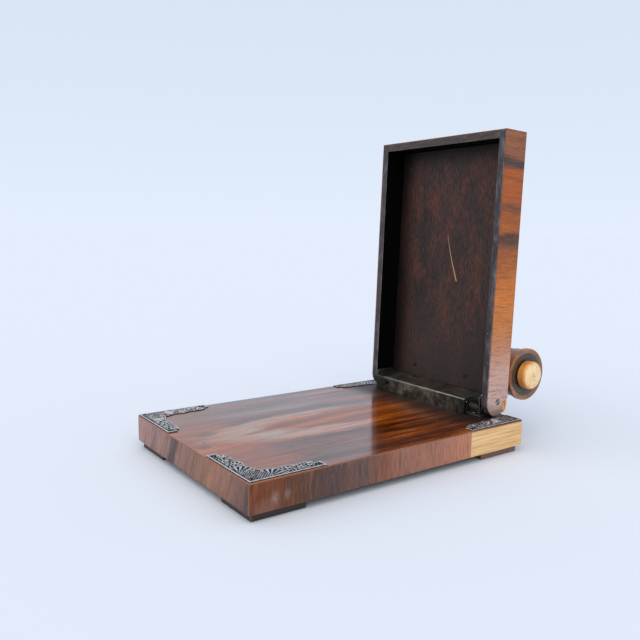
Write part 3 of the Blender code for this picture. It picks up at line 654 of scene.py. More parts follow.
patina = blackened("blackened_steel", "#2a2826", "#55504a", "#9b968e", 0.0)
HINGE, CLAMP_PIVOT, ROLLER_SPIN = frame["joints"]
pivot = Vector(HINGE["pos_m"])
EAR_SHEET = 0.0014
EAR_FACE = 0.0758
EAR_FRONT, EAR_BACK = pivot.y - 0.0150, pivot.y + 0.0090
FOOT_THICK, FOOT_LONG = 0.0012, 0.0179
for hand, sign in (("left", -1), ("right", 1)):
    node = "hinge_ear_" + hand
    low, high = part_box(node)
    outline = [(EAR_FRONT, low.z), (EAR_FRONT + 0.018, low.z), (EAR_FRONT + 0.019, low.z + 0.0024)]
    outline += [(EAR_BACK, low.z + 0.0034)]
    outline += arc((EAR_BACK - 0.004, high.z - 0.004), 0.004, 0, 90, 10)
    outline += arc((EAR_FRONT + 0.003, high.z - 0.003), 0.003, 90, 180, 8)
    upright = prism(outline, *sorted((sign * EAR_FACE, sign * (EAR_FACE - EAR_SHEET))))
    start, end = sorted((sign * 0.043, sign * (EAR_FACE + 0.0010)))
    foot = slab((start, EAR_FRONT, low.z), (end, EAR_FRONT + FOOT_LONG, low.z + FOOT_THICK))
    start, end = sorted((sign * 0.045, sign * (EAR_FACE - EAR_SHEET / 2)))
    flange = slab((start, EAR_BACK - EAR_SHEET, low.z + 0.0028), (end, EAR_BACK - 0.0001, low.z + 0.0091))
    ear = gather([ease(shape, 0.0003, 2) for shape in (upright, foot, flange)])
    fit(node + "_plate", ear, [patina], "base", [node])

# ----------------------------------------------------------------------------------------- Screws
# Slotted steel screws, turned with a low domed head: two through each ear's foot into the board, one through
# each side of the lid as its pivot, and one for each roller bracket, driven from inside the tray.


def slotted_head(radius, high, slot_wide, slot_turn):
    """A screw's head facing +Z: a disc at the slot's floor and a cheek on each side of the slot."""
    floor = high * 0.45
    outline = arc((0, 0), radius, 0, 354, 59)
    disc = prism(outline, 0.0, floor)
    half = slot_wide / 2
    start = math.degrees(math.asin(half / radius))
    cheeks = []
    for side in (0, 180):
        segment = arc((0, 0), radius, side + start, side + 180 - start, 28)
        cheeks.append(ease(prism(segment, floor * 0.5, high), high * 0.3, 3))
    whole = gather([disc] + cheeks)
    whole.transform(Matrix.Rotation(slot_turn, 4, "X"))
    whole.transform(Matrix.Rotation(-math.pi / 2, 4, "Y"))
    return whole


screw_steel = blackened("screw_steel", "#3b3835", "#6b655e", "#b5b0a6", 9.0)
tilt = math.radians(HINGE["range_deg"][1] - 90)
lid_axes = Matrix.Translation(pivot) @ Matrix.Rotation(-tilt, 4, "X")
SMALL_HEAD, PIVOT_HEAD = 0.0010, 0.0011
for hand, sign in (("left", -1), ("right", 1)):
    for number in (1, 2):
        node = f"ear_screw_{hand}_{number}"
        low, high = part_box(node)
        middle = (low + high) / 2
        axes = Matrix.Translation((middle.x, middle.y, high.z - SMALL_HEAD))
        head = slotted_head(0.0023, SMALL_HEAD, 0.0006, 0.6 * number)
        fit(node + "_head", head, [screw_steel], "base", [node], axes)
    node = "lid_pivot_screw_" + hand
    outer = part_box(node)[sign > 0].x
    axes = Matrix.Translation((outer - sign * PIVOT_HEAD, pivot.y, pivot.z))
    axes = axes @ Matrix.Rotation(sign * math.pi / 2, 4, "Y")
    head = slotted_head(0.0032, PIVOT_HEAD, 0.0008, 0.5)
    fit(node + "_head", head, [screw_steel], "base", [node], axes)
    node = "bracket_screw_" + hand
    low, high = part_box(node)
    middle = (low + high) / 2
    axes = Matrix.Translation((middle.x, low.y + SMALL_HEAD, middle.z))
    axes = axes @ Matrix.Rotation(math.pi / 2 - tilt, 4, "X")
    head = slotted_head(0.0021, SMALL_HEAD, 0.0006, sign * 0.9)
    fit(node + "_head", head, [rusted_iron], "lid", [node], axes)

# ----------------------------------------------------------------------------------------- Paper clamp
# A bar folded from 1.2 mm sheet steel: a lip that presses the paper, a top plate that slopes up to the back
# and runs out on the left as a thumb tab, and a cheek at each end that turns on the rod.

CLAMP_SHEET = 0.0012
BEND = 0.0016
LIP_HIGH = 0.0153
THUMB_LEFT = -0.0732
LIP_LEFT = -0.0680
TIP_LEFT = -0.0768
CLAMP_HALF = 0.0602
EYE_X, EYE_UP, EYE_BEHIND, EYE_RADIUS = 0.0555, 0.0102, 0.0032, 0.0020


def folded_bar(low, high):
    """The lip, bend and top plate as one sheet with a real thickness, a little uneven from hand work."""
    top = low.z + LIP_HIGH
    front = low.y
    line = [(front, low.z + 0.0002 + (top - BEND - low.z) * i / 12) for i in range(12)]
    line += arc((front + BEND, top - BEND), BEND, 180, 95, 8)
    rise = high.z - top
    run = high.y - front - BEND
    line += [(front + BEND + run * i / 16, top + rise * i / 16) for i in range(1, 17)]
    normals = []
    for i in range(len(line)):
        before, after = line[max(0, i - 1)], line[min(len(line) - 1, i + 1)]
        run = Vector((after[0] - before[0], after[1] - before[1])).normalized()
        normals.append(Vector((run.y, -run.x)))
    shape = bmesh.new()
    columns = 120
    outer, inner = [], []
    for (y, z), normal in zip(line, normals):
        climb = min(1.0, max(0.0, (z - low.z) / (top - BEND - low.z)))
        left = LIP_LEFT + (TIP_LEFT - LIP_LEFT) * climb**1.2
        left += (THUMB_LEFT - TIP_LEFT) * min(1.0, max(0.0, (y - front - BEND / 3) / (BEND / 2)))
        row_out, row_in = [], []
        for i in range(columns + 1):
            x = left + (CLAMP_HALF - left) * i / columns
            uneven = -0.00012 * noise.noise(Vector((x * 60, y * 90, z * 90)))
            row_out.append(shape.verts.new((x, y + normal.x * uneven, z + normal.y * uneven)))
            row_in.append(shape.verts.new((x, y + normal.x * CLAMP_SHEET, z + normal.y * CLAMP_SHEET)))
        outer.append(row_out)
        inner.append(row_in)
    last = len(line) - 1
    for i in range(last):
        for j in range(columns):
            shape.faces.new((outer[i][j], outer[i][j + 1], outer[i + 1][j + 1], outer[i + 1][j]))
            shape.faces.new((inner[i][j], inner[i + 1][j], inner[i + 1][j + 1], inner[i][j + 1]))
        for j in (0, columns):
            shape.faces.new((outer[i][j], outer[i + 1][j], inner[i + 1][j], inner[i][j]))
    for j in range(columns):
        for i in (0, last):
            shape.faces.new((outer[i][j], inner[i][j], inner[i][j + 1], outer[i][j + 1]))
    bmesh.ops.recalc_face_normals(shape, faces=shape.faces)
    return shape


low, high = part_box("clamp_bar")
bar = folded_bar(low, high)
rod_y, rod_z = CLAMP_PIVOT["pos_m"][1:]
cheeks = []
for sign in (-1, 1):
    outline = [(low.y + 0.0006, low.z + 0.0020), (rod_y + 0.003, low.z + 0.0020)]
    outline += [(high.y - 0.001, rod_z + 0.0022), (high.y - 0.001, high.z - 0.0012)]
    outline += [(low.y + 0.0012, low.z + 0.0146)]
    cheek = prism(outline, *sorted((sign * CLAMP_HALF, sign * (CLAMP_HALF - CLAMP_SHEET))))
    cheeks.append(ease(cheek, 0.0003, 2))

# Patinated bar: green-brown on the lip, greyer and more rubbed on the plate, with a bright line along the
# fold where fingers and paper have worn it, partly a painted highlight, brightest toward the right.
bar_steel, tree, shader = new_finish("patinated_clamp_steel", Metallic=0.85)
coords = add(tree, "TexCoord").outputs["Object"]
where = add(tree, "SeparateXYZ", [coords])
from_middle = add(tree, "Math", [where.outputs["X"]], operation="ABSOLUTE")
cloud = add(tree, "TexNoise", {"Vector": coords, "Scale": 95.0, "Detail": 6.0, "Roughness": 0.68})
mottle = add(tree, "TexNoise", {"Vector": coords, "Scale": 420.0, "Detail": 4.0})
scuffs = figure(tree, 1.2, 22.0, ALONG_X)
lip = stain(
    tree,
    add(tree, "ValToRGB", [cloud], stops=[(0.32, "#24211d"), (0.48, "#4e483e"), (0.68, "#8a806e")]),
    ("#1c1b19", from_middle, 0.030, 0.055, 0.7),
    ("#6e6656", mottle, 0.55, 0.72, 0.5),
)
plate = add(tree, "ValToRGB", [cloud], stops=[(0.3, "#38322e"), (0.7, "#6f665e")])
plate = stain(tree, plate, ("#9a9189", scuffs, 0.52, 0.68, 0.65))
# Painted highlight and wear: a bright line along the fold.
fold = add(tree, "MapRange", [where.outputs["Z"], low.z + 0.0140, low.z + 0.0149, 0.0, 1.0])
for span in (
    [where.outputs["Y"], low.y + 0.0016, low.y + 0.0006, 0.0, 1.0],
    [mottle, 0.3, 0.55, 0.45, 1.0],
    [where.outputs["X"], -0.06, 0.05, 0.35, 0.9],
):
    fold = add(tree, "Math", [fold, add(tree, "MapRange", span)], operation="MULTIPLY")
tone = stain(
    tree,
    lip,
    (plate, where.outputs["Y"], low.y + 0.0010, low.y + 0.0018, 1.0),
    ("#b9b3a8", fold),
    # Painted shade: the end cheeks are darker.
    ("#2c2b27", from_middle, 0.0594, 0.0601, 0.7),
)
dress(shader, tone, (cloud, 0.34, 0.58), mottle, 0.00004)
whole = gather([bar] + cheeks)
clamp = fit("clamp_bar_folded", whole, [bar_steel], "clamp", ["clamp_bar"], crease=50)
# One eye is bored through the lip's left end and one through the right cheek, close behind the fold.
for middle, turn in (((-EYE_X, low.y), math.pi / 2), ((CLAMP_HALF, low.y + EYE_BEHIND), 0.0)):
    drill = bpy.data.objects.new("eye_drill", bpy.data.meshes.new("eye_drill"))
    shape = turned([(0.004, 0.0), (0.004, EYE_RADIUS), (-0.004, EYE_RADIUS), (-0.004, 0.0)], 32)
    shape.transform(Matrix.Rotation(turn, 4, "Z"))
    shape.transform(Matrix.Translation((*middle, low.z + EYE_UP)))
    shape.to_mesh(drill.data)
    shape.free()
    bpy.context.scene.collection.objects.link(drill)
    eye = clamp.modifiers.new("eye", "BOOLEAN")
    eye.object = drill
    bpy.context.view_layer.update()
    bored = bpy.data.meshes.new_from_object(clamp.evaluated_get(bpy.context.evaluated_depsgraph_get()))
    clamp.modifiers.remove(eye)
    clamp.data = bored
    bpy.data.objects.remove(drill)

# ----------------------------------------------------------------------------------------- Rod and springs
# The clamp's rod is 4 mm drawn steel, riveted in the ears. A torsion spring of 1.2 mm wire sits round each
# end of it, with one leg on the clamp's cheek and the other on the board.


def rod(end, radius):
    """The profile of a plain rod, with 0.5 mm chamfers."""
    half = [(end, 0.0), (end, radius - 0.0005), (end - 0.0005, radius)]
    return half + [(-along, out) for along, out in half[::-1]]


clamp_rod = turned(rod(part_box("clamp_rod")[1].x, 0.0020), 40)
axes = Matrix.Translation((0.0, rod_y, rod_z))
fit("clamp_rod_turned", clamp_rod, [screw_steel], "base", ["clamp_rod"], axes)

SPRING_RADIUS = 0.0035
WIRE = 0.0006
COIL_TURNS = 4
for hand, sign in (("left", -1), ("right", 1)):
    node = "clamp_spring_" + hand
    low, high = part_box(node)
    inner, outer = sorted((abs(low.x), abs(high.x)))
    inner += WIRE
    pitch = (outer - WIRE - inner) / COIL_TURNS
    curve = bpy.data.curves.new(node + "_coil", "CURVE")
    curve.dimensions = "3D"
    curve.bevel_depth = WIRE
    curve.bevel_resolution = 3
    curve.use_fill_caps = True
    line = curve.splines.new("POLY")
    steps = COIL_TURNS * 32
    line.points.add(steps)
    for i, point in enumerate(line.points):
        angle = math.pi + 2 * math.pi * i / 32
        x = sign * (inner + pitch * i / 32)
        point.co = (x, SPRING_RADIUS * math.cos(angle), -SPRING_RADIUS * math.sin(angle), 1.0)
    coil = bpy.data.objects.new(node + "_coil", curve)
    curve.materials.append(screw_steel)
    bpy.context.scene.collection.objects.link(coil)
    coil.location = (0.0, rod_y, rod_z)
    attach(coil, "base")
    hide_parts(node)

# ----------------------------------------------------------------------------------------- Lid rails
# Two side rails and an end rail of beech, stained near black, glued round the panel to make a shallow tray.
# The hinge ends of the side rails are rounded about the pivot, and all the front edges are rubbed.

# Stained beech: black-brown plus painted shade inside the tray, faded bluish grey-brown with rubbed rim
# edges.
half_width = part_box("lid_veneer_right")[1].x
HALF_LID = 0.0144
REACH = 0.2568
WALL, LEAF, GLUE = 0.0080, 0.0008, 0.0002


def stained_beech(name, dark, light, bare, grain):
    made, tree, shader = new_finish(name, IOR=1.5)
    lines = figure(tree, 1.1, 22.0, grain, 4.0)
    cloud = figure(tree, 5.0, 16.0, grain, 4.0, 4.0)
    dust = add(tree, "TexNoise", {"Vector": add(tree, "TexCoord").outputs["Object"], "Scale": 750.0})
    tone = stain(
        tree,
        add(tree, "ValToRGB", [lines], stops=[(0.36, dark), (0.66, light)]),
        (bare, cloud, 0.5, 0.75, 0.5),
        ("#b3a9a6", dust, 0.70, 0.74, 0.7),
        (bare, rubbed(tree, cloud, 0.35, 0.6, 0.15, 0.9)),
    )
    dress(shader, tone, (cloud, 0.42, 0.6), lines, 0.00004)
    return made


rim_side = stained_beech("stained_beech_rim", "#171212", "#3d3233", "#857d88", UPRIGHT)
rim_end = stained_beech("stained_beech_end", "#1c1412", "#4a362c", "#6f6360", ALONG_X)
# The tray's inner faces are near black: black stain and painted shade inside the tray.
tray_black, tree, shader = new_finish(
    "black_stain_and_shade_tray_wall", IOR=1.5, Roughness=0.7, Specular_IOR_Level=0.06
)
lines = figure(tree, 3.0, 60.0, UPRIGHT)
wire(shader, {"Base Color": add(tree, "ValToRGB", [lines], stops=[(0.3, "#020101"), (0.7, "#060404")])})

rail_back, rail_top = HALF_LID - LEAF - GLUE, REACH - LEAF - GLUE
for hand, sign in (("left", -1), ("right", 1)):
    turn = 360 - math.degrees(math.acos(rail_back / HALF_LID))
    outline = [(rail_back, rail_top), (-HALF_LID, rail_top)] + arc((0.0, 0.0), HALF_LID, 180, turn, 40)
    inner, outer = half_width - WALL, half_width - LEAF - GLUE
    rail = ease(prism(outline, *sorted((sign * inner, sign * outer))), 0.0005, 3)
    for face in rail.faces:
        if face.normal.x * sign < -0.9:
            face.material_index = 1
    fit("rail_" + hand, rail, [rim_side, tray_black], "lid", ["lid_rail_" + hand], lid_axes)
inner = half_width - WALL - GLUE
end_rail = ease(slab((-inner, -HALF_LID, REACH - WALL), (inner, rail_back, rail_top)), 0.0005, 3)
for face in end_rail.faces:
    if face.normal.z < -0.9:
        face.material_index = 1
fit("rail_end", end_rail, [rim_end, tray_black], "lid", ["lid_end_rail"], lid_axes)

# ----------------------------------------------------------------------------------------- Lid panel
# The tray's floor: a 3 mm board of stained mahogany let in between the rails. Its stain has worn through to
# red-brown in upright streaks, and a long curved scratch shows bare wood.
worn_mahogany, tree, shader = new_finish("stained_mahogany_panel", IOR=1.5, Specular_IOR_Level=0.2)
where = add(tree, "SeparateXYZ", [add(tree, "TexCoord").outputs["Object"]])
across, up = where.outputs["X"], where.outputs["Z"]
broad = figure(tree, 30.0, 90.0, UPRIGHT, 3.0, 1.3)
fine = figure(tree, 0.8, 6.0, UPRIGHT, 5.0)
red = figure(tree, 13.0, 34.0, UPRIGHT, 4.0, 6.0)
# Painted shadow: the panel darkens toward the left rail and toward the end rail, where the rails shade it.
painted_shade = [
    add(tree, "MapRange", span, interpolation_type="SMOOTHSTEP")
    for span in (
        [add(tree, "Math", [half_width - WALL, across]), 0.0, 0.030, 0.85, 0.0],
        [add(tree, "Math", [pivot.z + 0.2488, up], operation="SUBTRACT"), 0.0, 0.022, 0.8, 0.0],
    )
]
wood = stain(
    tree,
    add(tree, "ValToRGB", [broad], stops=[(0.3, "#2d2220"), (0.52, "#42302b"), (0.75, "#573a30")]),
    ("#6d3a2c", red, 0.48, 0.70, 0.6),
    ("#1a1413", fine, 0.44, 0.62, 0.75),
    ("#75645a", fine, 0.42, 0.25, 0.3),
    ("#332c2b", up, pivot.z + 0.10, pivot.z + 0.02, 0.6),
    # Painted shadow of the left rail and the end rail.
    *(("#120d0c", share) for share in painted_shade),
)

# The scratch bows as it falls, and widens from a hair to 1.5 mm.
fall = add(tree, "MapRange", [up, pivot.z + 0.160, pivot.z + 0.1115, 0.0, 1.0])
bow = add(tree, "Math", [fall, 1.25], operation="POWER")
line_x = add(tree, "MapRange", [bow, 0.0, 1.0, -0.0034, 0.0125])
off = add(tree, "Math", [across, line_x], operation="SUBTRACT")
off = add(tree, "Math", [off], operation="ABSOLUTE")
wide = add(tree, "MapRange", [fall, 0.0, 1.0, 0.00012, 0.00075])
bare = add(tree, "Math", [off, wide], operation="LESS_THAN")
for end, side in ((0.999, "LESS_THAN"), (0.001, "GREATER_THAN")):
    bare = add(tree, "Math", [bare, add(tree, "Math", [fall, end], operation=side)], operation="MULTIPLY")
wood = stain(tree, wood, ("#c69a6e", bare, 0.0, 1.0, 0.9))
dress(shader, wood, (broad, 0.42, 0.6), fine, 0.00005)
paint(worn_mahogany, "lid_panel")

# ----------------------------------------------------------------------------------------- Lid veneers
# Walnut leaves glued over the rails and the back once the tray was made, laid across the edges like the
# board's bandings. The right one has lost a splinter beside the pivot, down to bare wood.
ORANGE_STREAKS = ("#4b2d1c", "#ba671f", "#4c2f20", "#cf8c4c", "#4d3932")
side_tones = [
    (0.0, "#5d4d4b"),
    (0.05, "#c2a49c"),
    (0.16, "#c29c8e"),
    (0.25, "#ba7f5c"),
    (0.33, "#c07434"),
    (0.43, "#c8712a"),
    (0.55, "#a05620"),
    (0.595, "#985222"),
    (0.612, "#553627"),
    (0.637, "#4a3024"),
    (0.655, "#a0541c"),
    (0.715, "#9c501a"),
    (0.73, "#7a4423"),
    (0.745, "#7d4622"),
    (0.765, "#a65318"),
    (0.862, "#a35018"),
    (0.876, "#45352c"),
    (0.895, "#3e3230"),
    (0.915, "#865235"),
    (1.0, "#8e5535"),
]
look = crossband(
    "crossbanded_walnut_lid_side", ALONG_Y, UPRIGHT, -HALF_LID, REACH, side_tones, 8.0, streaks=ORANGE_STREAKS
)


def cheek_outline(chipped):
    """The side leaf: square at its far end, round about the pivot, with the lost splinter cut out of it."""
    outline = [(HALF_LID, REACH), (-HALF_LID, REACH)]
    rounded = arc((0.0, 0.0), HALF_LID, 180, 360, 60)
    if not chipped:
        return outline + rounded
    kept = [p for p in rounded if not (p[0] > 0.0066 and p[1] > -0.0130)]
    notch = [(0.0069, -0.0110), (0.0064, -0.0074), (0.0072, -0.0032), (0.0067, -0.0012), (0.0092, -0.0007)]
    notch += [(0.0106, 0.0005), (0.0124, -0.0002), (0.0135, 0.0017), (HALF_LID, 0.0023)]
    return outline + kept + notch


for hand, sign in (("left", -1), ("right", 1)):
    leaf = prism(cheek_outline(hand == "right"), *sorted((sign * half_width, sign * (half_width - LEAF))))
    node = "lid_veneer_" + hand
    fit("leaf_" + hand, ease(leaf, 0.00022, 2), [look], "lid", [node], lid_axes)

# Bare wood of the splintered place: split pale slivers that stand up to the leaf's face.
bare_wood, tree, shader = new_finish("split_bare_wood", IOR=1.5)
lines = figure(tree, 0.7, 12.0, UPRIGHT)
tone = add(tree, "ValToRGB", [lines], stops=[(0.35, "#f3bd80"), (0.52, "#d08a44"), (0.66, "#5e3218")])
dress(shader, tone, 0.7, lines, 0.0002)
slivers = []
for back, root, tip, stand in (
    (0.0072, -0.0108, -0.0014, 0.00020),
    (0.0085, -0.0095, -0.0011, 0.00045),
    (0.0098, -0.0108, -0.0005, 0.00065),
    (0.0111, -0.0112, 0.0001, 0.00030),
    (0.0124, -0.0090, 0.0006, 0.00060),
    (0.0136, -0.0054, 0.0010, 0.00040),
):
    outline = [(back - 0.00065, root), (back + 0.0005, root + 0.0009)]
    outline += [(back + 0.00065, tip), (back - 0.00055, tip)]
    slivers.append(ease(prism(outline, half_width - 0.0012, half_width - LEAF + stand), 0.0001, 1))
fit("splinters", gather(slivers), [bare_wood], "lid", axes=lid_axes, crease=20)

leaf_x = half_width - LEAF - GLUE
end_tones = [(0.0, "#8c5f44"), (0.4, "#a06a48"), (0.7, "#7a5038"), (1.0, "#a06c4c")]
look = crossband(
    "crossbanded_walnut_lid_end", ALONG_Y, ALONG_X, -leaf_x, leaf_x, end_tones, 12.0, streaks=ORANGE_STREAKS
)
leaf = slab((-leaf_x, -HALF_LID, REACH - LEAF), (leaf_x, HALF_LID, REACH))
fit("leaf_end", ease(leaf, 0.0002, 2), [look], "lid", ["lid_veneer_end"], lid_axes)

# The back is one leaf of walnut with its grain along the lid, polished like the board's top.
back_walnut, tree, shader = new_finish(
    "french_polished_walnut_back", IOR=1.5, Coat_Weight=0.5, Coat_Roughness=0.1
)
broad = figure(tree, 18.0, 200.0, UPRIGHT, 2.0, 2.2)
narrow = figure(tree, 2.4, 60.0, UPRIGHT)
worn = add(tree, "Attribute", attribute_name="worn").outputs["Fac"]
wood = stain(
    tree,
    add(tree, "ValToRGB", [broad], stops=[(0.3, "#4c2814"), (0.5, "#78431f"), (0.72, "#96592e")]),
    ("#331a0d", narrow, 0.42, 0.75, 0.6),
    ("#a97850", worn, 0.0, 1.0, 0.6),
)
dress(shader, wood, (broad, 0.2, 0.4), narrow, 0.00002)
leaf = slab((-leaf_x, HALF_LID - LEAF, 0.0), (leaf_x, HALF_LID, rail_top))
fit("leaf_back", ease(leaf, 0.0002, 2), [back_walnut], "lid", ["lid_veneer_back"], lid_axes)

# ----------------------------------------------------------------------------------------- Roller brackets
# Two L-shaped brackets of 1.8 mm sheet steel on the back of the lid, one screw to each, whose ears carry the
# roller's spindle. Blackened like the hinge ears.
BRACKET_SHEET = 0.0018
FOOT_BOTTOM, FOOT_TOP = 0.0095, 0.0255
EAR_OUTER = 0.0692
spindle = Vector(ROLLER_SPIN["pos_m"])
eye = lid_axes.inverted() @ spindle
foot_back = HALF_LID + GLUE
for hand, sign in (("left", -1), ("right", 1)):
    node = "roller_bracket_" + hand
    outline = [(foot_back, FOOT_TOP), (foot_back, FOOT_BOTTOM)]
    outline += [(foot_back + BRACKET_SHEET + 0.004, FOOT_BOTTOM)]
    outline += arc((eye.y, eye.z), 0.0070, -75, 95, 28)
    ear = ease(prism(outline, *sorted((sign * (EAR_OUTER - BRACKET_SHEET), sign * EAR_OUTER))), 0.0003, 2)
    start, end = sorted((sign * 0.0260, sign * EAR_OUTER))
    foot = slab((start, foot_back, FOOT_BOTTOM), (end, foot_back + BRACKET_SHEET, FOOT_TOP))
    plate = gather([ear, ease(foot, 0.0003, 2)])
    fit(node + "_plate", plate, [patina], "lid", [node], lid_axes)

# ----------------------------------------------------------------------------------------- Roller
# The roller behind the lid: a turned walnut drum on a steel spindle, with a flanged wheel of amber phenolic
# at each end, a dark facing let into it, and a butterscotch button cemented over the spindle's end.

DRUM_RADIUS = 0.0232
BORE = 0.0032
roller_axes = Matrix.Translation(spindle)

# Turned walnut: matt, with fine tool rings and darker bands of figure along the drum.
turned_walnut, tree, shader = new_finish("turned_walnut_drum", IOR=1.5)
lines = figure(tree, 2.5, 50.0, ALONG_X)
rings = figure(tree, 400.0, 0.9, ALONG_X, 1.0)
tone = add(tree, "ValToRGB", [lines], stops=[(0.35, "#8a5434"), (0.65, "#5a3120")])
dress(shader, tone, 0.42, rings, 0.00003)
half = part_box("roller_drum")[1].x
crown = DRUM_RADIUS + 0.0003
profile = [(half, BORE), (half, DRUM_RADIUS), (0.02, crown)]
profile += [(-0.02, crown), (-half, DRUM_RADIUS), (-half, BORE)]
drum = ease(turned(profile), 0.001, 3, 30)
fit("drum", drum, [turned_walnut], "roller", ["roller_drum"], roller_axes)

steel = turned(rod(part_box("roller_spindle")[1].x, 0.0030), 48)
fit("spindle", steel, [screw_steel], "roller", ["roller_spindle"], roller_axes)


def from_axis(tree):
    """The distance from the roller's axis."""
    where = add(tree, "SeparateXYZ", [add(tree, "TexCoord").outputs["Object"]])
    flat = add(tree, "CombineXYZ", {"Y": where.outputs["Y"], "Z": where.outputs["Z"]})
    return add(tree, "VectorMath", [flat], operation="LENGTH").outputs["Value"]


def tool_rings(tree, out, pitch):
    """Rings a pitch apart, from -1 to 1."""
    phase = add(tree, "Math", [out, 2 * math.pi / pitch], operation="MULTIPLY")
    return add(tree, "Math", [phase], operation="SINE")


# Amber phenolic: translucent-looking brown-orange, polished, mellowed darker in soft clouds.
amber, tree, shader = new_finish("amber_phenolic", IOR=1.6, Coat_Weight=0.3, Coat_Roughness=0.08)
coords = add(tree, "TexCoord").outputs["Object"]
cloud = add(tree, "TexNoise", {"Vector": coords, "Scale": 45.0, "Detail": 4.0, "Distortion": 1.2})
tone = add(tree, "ValToRGB", [cloud], stops=[(0.3, "#6a3d18"), (0.55, "#8e5422"), (0.75, "#ad7438")])
# Painted shade and reflection: the rim turns grey-brown as it slopes into the dish.
dish_shading = add(tree, "MapRange", [from_axis(tree), 0.0206, 0.0252, 0.9, 0.0], interpolation_type="SMOOTHSTEP")
tone = stain(tree, tone, ("#574431", dish_shading))
wire(shader, {"Base Color": tone, "Roughness": add(tree, "MapRange", [cloud, 0.3, 0.7, 0.2, 0.4])})

# Facing: a turned disc of dark ebonite, brown-black and satin, with fine tool rings.
ebonite, tree, shader = new_finish("ebonite_facing", IOR=1.55)
out = from_axis(tree)
coords = add(tree, "TexCoord").outputs["Object"]
cloud = add(tree, "TexNoise", {"Vector": coords, "Scale": 120.0, "Detail": 3.0})
tone = add(tree, "ValToRGB", [cloud], stops=[(0.3, "#120e0c"), (0.7, "#2a1f18")])
# Painted reflection: the facing turns lighter grey-brown toward its rim, away from the black round the
# button.
tone = stain(tree, tone, ("#57483a", out, 0.0155, 0.0203, 0.75))
dress(shader, tone, 0.38, tool_rings(tree, out, 0.0006), 0.000012)

# Butterscotch phenolic: creamy yellow face with faint turning rings and swirls, orange on its flank where
# the skin has mellowed, and a dark speck at the centre where the lathe's point stood.
butterscotch, tree, shader = new_finish(
    "butterscotch_phenolic", IOR=1.6, Coat_Weight=0.4, Coat_Roughness=0.1, Subsurface_Weight=0.15,
    Subsurface_Radius=(0.004, 0.002, 0.0008), Subsurface_Scale=1.0,
)
coords = add(tree, "TexCoord").outputs["Object"]
out = from_axis(tree)
swirl = add(tree, "TexNoise", {"Vector": coords, "Scale": 90.0, "Detail": 4.0, "Distortion": 2.0})
rings = tool_rings(tree, out, 0.0032)
flank = add(tree, "ValToRGB", [swirl], stops=[(0.3, "#c4762c"), (0.7, "#dd9a48")])
to_edge = add(tree, "MapRange", [out, 0.0112, 0.0134, 0.0, 1.0], interpolation_type="SMOOTHSTEP")
tone = stain(
    tree,
    add(tree, "ValToRGB", [swirl], stops=[(0.3, "#e2b878"), (0.7, "#f5dcae")]),
    ("#e0b06c", rings, -1.0, 1.0, 0.28),
    (flank, to_edge),
    ("#5a3418", out, 0.0011, 0.0006, 0.8),
)
dress(shader, tone, (swirl, 0.22, 0.36), rings, 0.00002)

WHEEL_RADIUS = 0.02598
WHEEL_OUTER = 0.0850
RECESS = 0.0018
RECESS_RADIUS = 0.0204
for hand, sign in (("left", -1), ("right", 1)):
    flip = Matrix.Identity(4) if sign > 0 else Matrix.Rotation(math.pi, 4, "Z")
    axes = roller_axes @ flip
    floor = WHEEL_OUTER - RECESS
    profile = [(floor, BORE), (floor, RECESS_RADIUS), (WHEEL_OUTER - 0.0007, RECESS_RADIUS + 0.0001)]
    profile += [(WHEEL_OUTER - 0.0001, RECESS_RADIUS + 0.0042), (WHEEL_OUTER, WHEEL_RADIUS)]
    profile += [(WHEEL_OUTER - 0.0045, WHEEL_RADIUS)]
    profile += [(WHEEL_OUTER - 0.0045, 0.0243), (0.0698, 0.0243), (0.0698, BORE)]
    wheel = ease(turned(profile, 128), 0.0009, 4, 30)
    fit("wheel_" + hand, wheel, [amber], "roller", ["roller_wheel_" + hand], axes)
    low_x, high_x = floor + 0.0002, floor + 0.0012
    profile = [(low_x, BORE), (low_x + 0.0005, BORE), (low_x + 0.0005, 0.0142)]
    profile += [(high_x, 0.0202), (low_x, 0.0202)]
    disc = ease(turned(profile, 128), 0.0001, 2, 30)
    fit("facing_" + hand, disc, [ebonite], "roller", ["wheel_facing_" + hand], axes)
    crown_end = 0.0940
    profile = [(crown_end, 0.0), (crown_end - 0.00005, 0.004), (crown_end - 0.0003, 0.0085)]
    profile += [(crown_end - 0.0008, 0.0114)] + [
        (x, r) for r, x in arc((0.0114, crown_end - 0.0034), 0.0026, 80, 0, 6)
    ]
    profile += [(high_x + 0.0006, 0.0140), (high_x + 0.0002, 0.0134), (high_x + 0.0002, BORE)]
    profile += [(crown_end - 0.0028, BORE), (crown_end - 0.0028, 0.0)]
    button = turned(profile, 128)
    fit("button_" + hand, button, [butterscotch], "roller", ["knob_button_" + hand], axes)

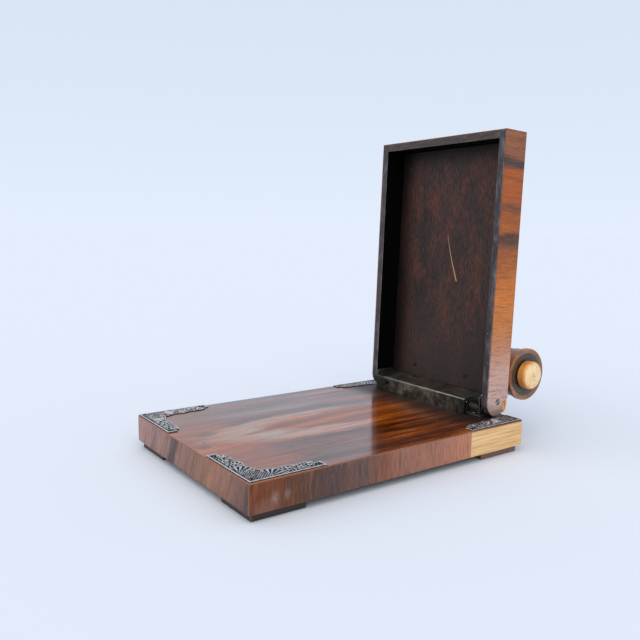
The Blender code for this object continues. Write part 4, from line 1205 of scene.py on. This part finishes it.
# ----------------------------------------------------------------------------------------- Studio
# A plain pale floor without an edge and an even pale surround of the same tone, lit by one broad soft light
# high on the right, one on the left and what the surround gives. The camera stands low, off a corner.
backdrop, tree, shader = new_finish("matt_white_paper", Roughness=0.9, Specular_IOR_Level=0.0)
wire(shader, {"Base Color": "#d9dee8"})
shape = bmesh.new()
bmesh.ops.create_grid(shape, x_segments=1, y_segments=1, size=60.0)
mesh = bpy.data.meshes.new("floor")
shape.to_mesh(mesh)
shape.free()
mesh.materials.append(backdrop)
floor = bpy.data.objects.new("floor", mesh)
bpy.context.scene.collection.objects.link(floor)
floor.location.z = cad_low.z

world = bpy.data.worlds.new("pale_surround")
world.use_nodes = True
sky = world.node_tree.nodes["Background"]
up = add(world.node_tree, "SeparateXYZ", [add(world.node_tree, "TexCoord").outputs["Generated"]])
stops = [(0.0, "#e4eefd"), (0.18, "#dce7f7"), (0.5, "#d5e1f2")]
wire(sky, {"Color": add(world.node_tree, "ValToRGB", [up.outputs["Z"]], stops=stops), "Strength": 1.0})
bpy.context.scene.world = world


def soft_light(name, toward, spread, power, colour):
    lamp = bpy.data.lights.new(name, "SUN")
    lamp.angle = math.radians(spread)
    lamp.energy = power
    lamp.color = linear(colour)[:3]
    made = bpy.data.objects.new(name, lamp)
    made.rotation_euler = Vector(toward).to_track_quat("Z", "Y").to_euler()
    bpy.context.scene.collection.objects.link(made)


soft_light("key", (0.62, -0.30, 0.72), 70, 1.5, "#fff2dc")
soft_light("fill", (-0.25, -0.70, 0.66), 70, 0.5, "#fff2dc")

CAMERA_PLACE = Vector((0.5027, -0.40615, 0.2079))
CAMERA_YAW, CAMERA_DOWN, CAMERA_ROLL = (math.radians(a) for a in (54.12, 7.53, 0.94))
camera_data = bpy.data.cameras.new("camera")
camera_data.lens = 38.15
camera_data.sensor_width = 36.0
camera_data.clip_start = 0.01
camera_data.clip_end = 100.0
camera = bpy.data.objects.new("camera", camera_data)
camera.location = CAMERA_PLACE
camera.rotation_euler = (
    Matrix.Rotation(CAMERA_YAW, 3, "Z")
    @ Matrix.Rotation(math.pi / 2 - CAMERA_DOWN, 3, "X")
    @ Matrix.Rotation(CAMERA_ROLL, 3, "Z")
).to_euler()
bpy.context.scene.collection.objects.link(camera)
bpy.context.scene.camera = camera
bpy.context.scene.view_settings.view_transform = "Standard"
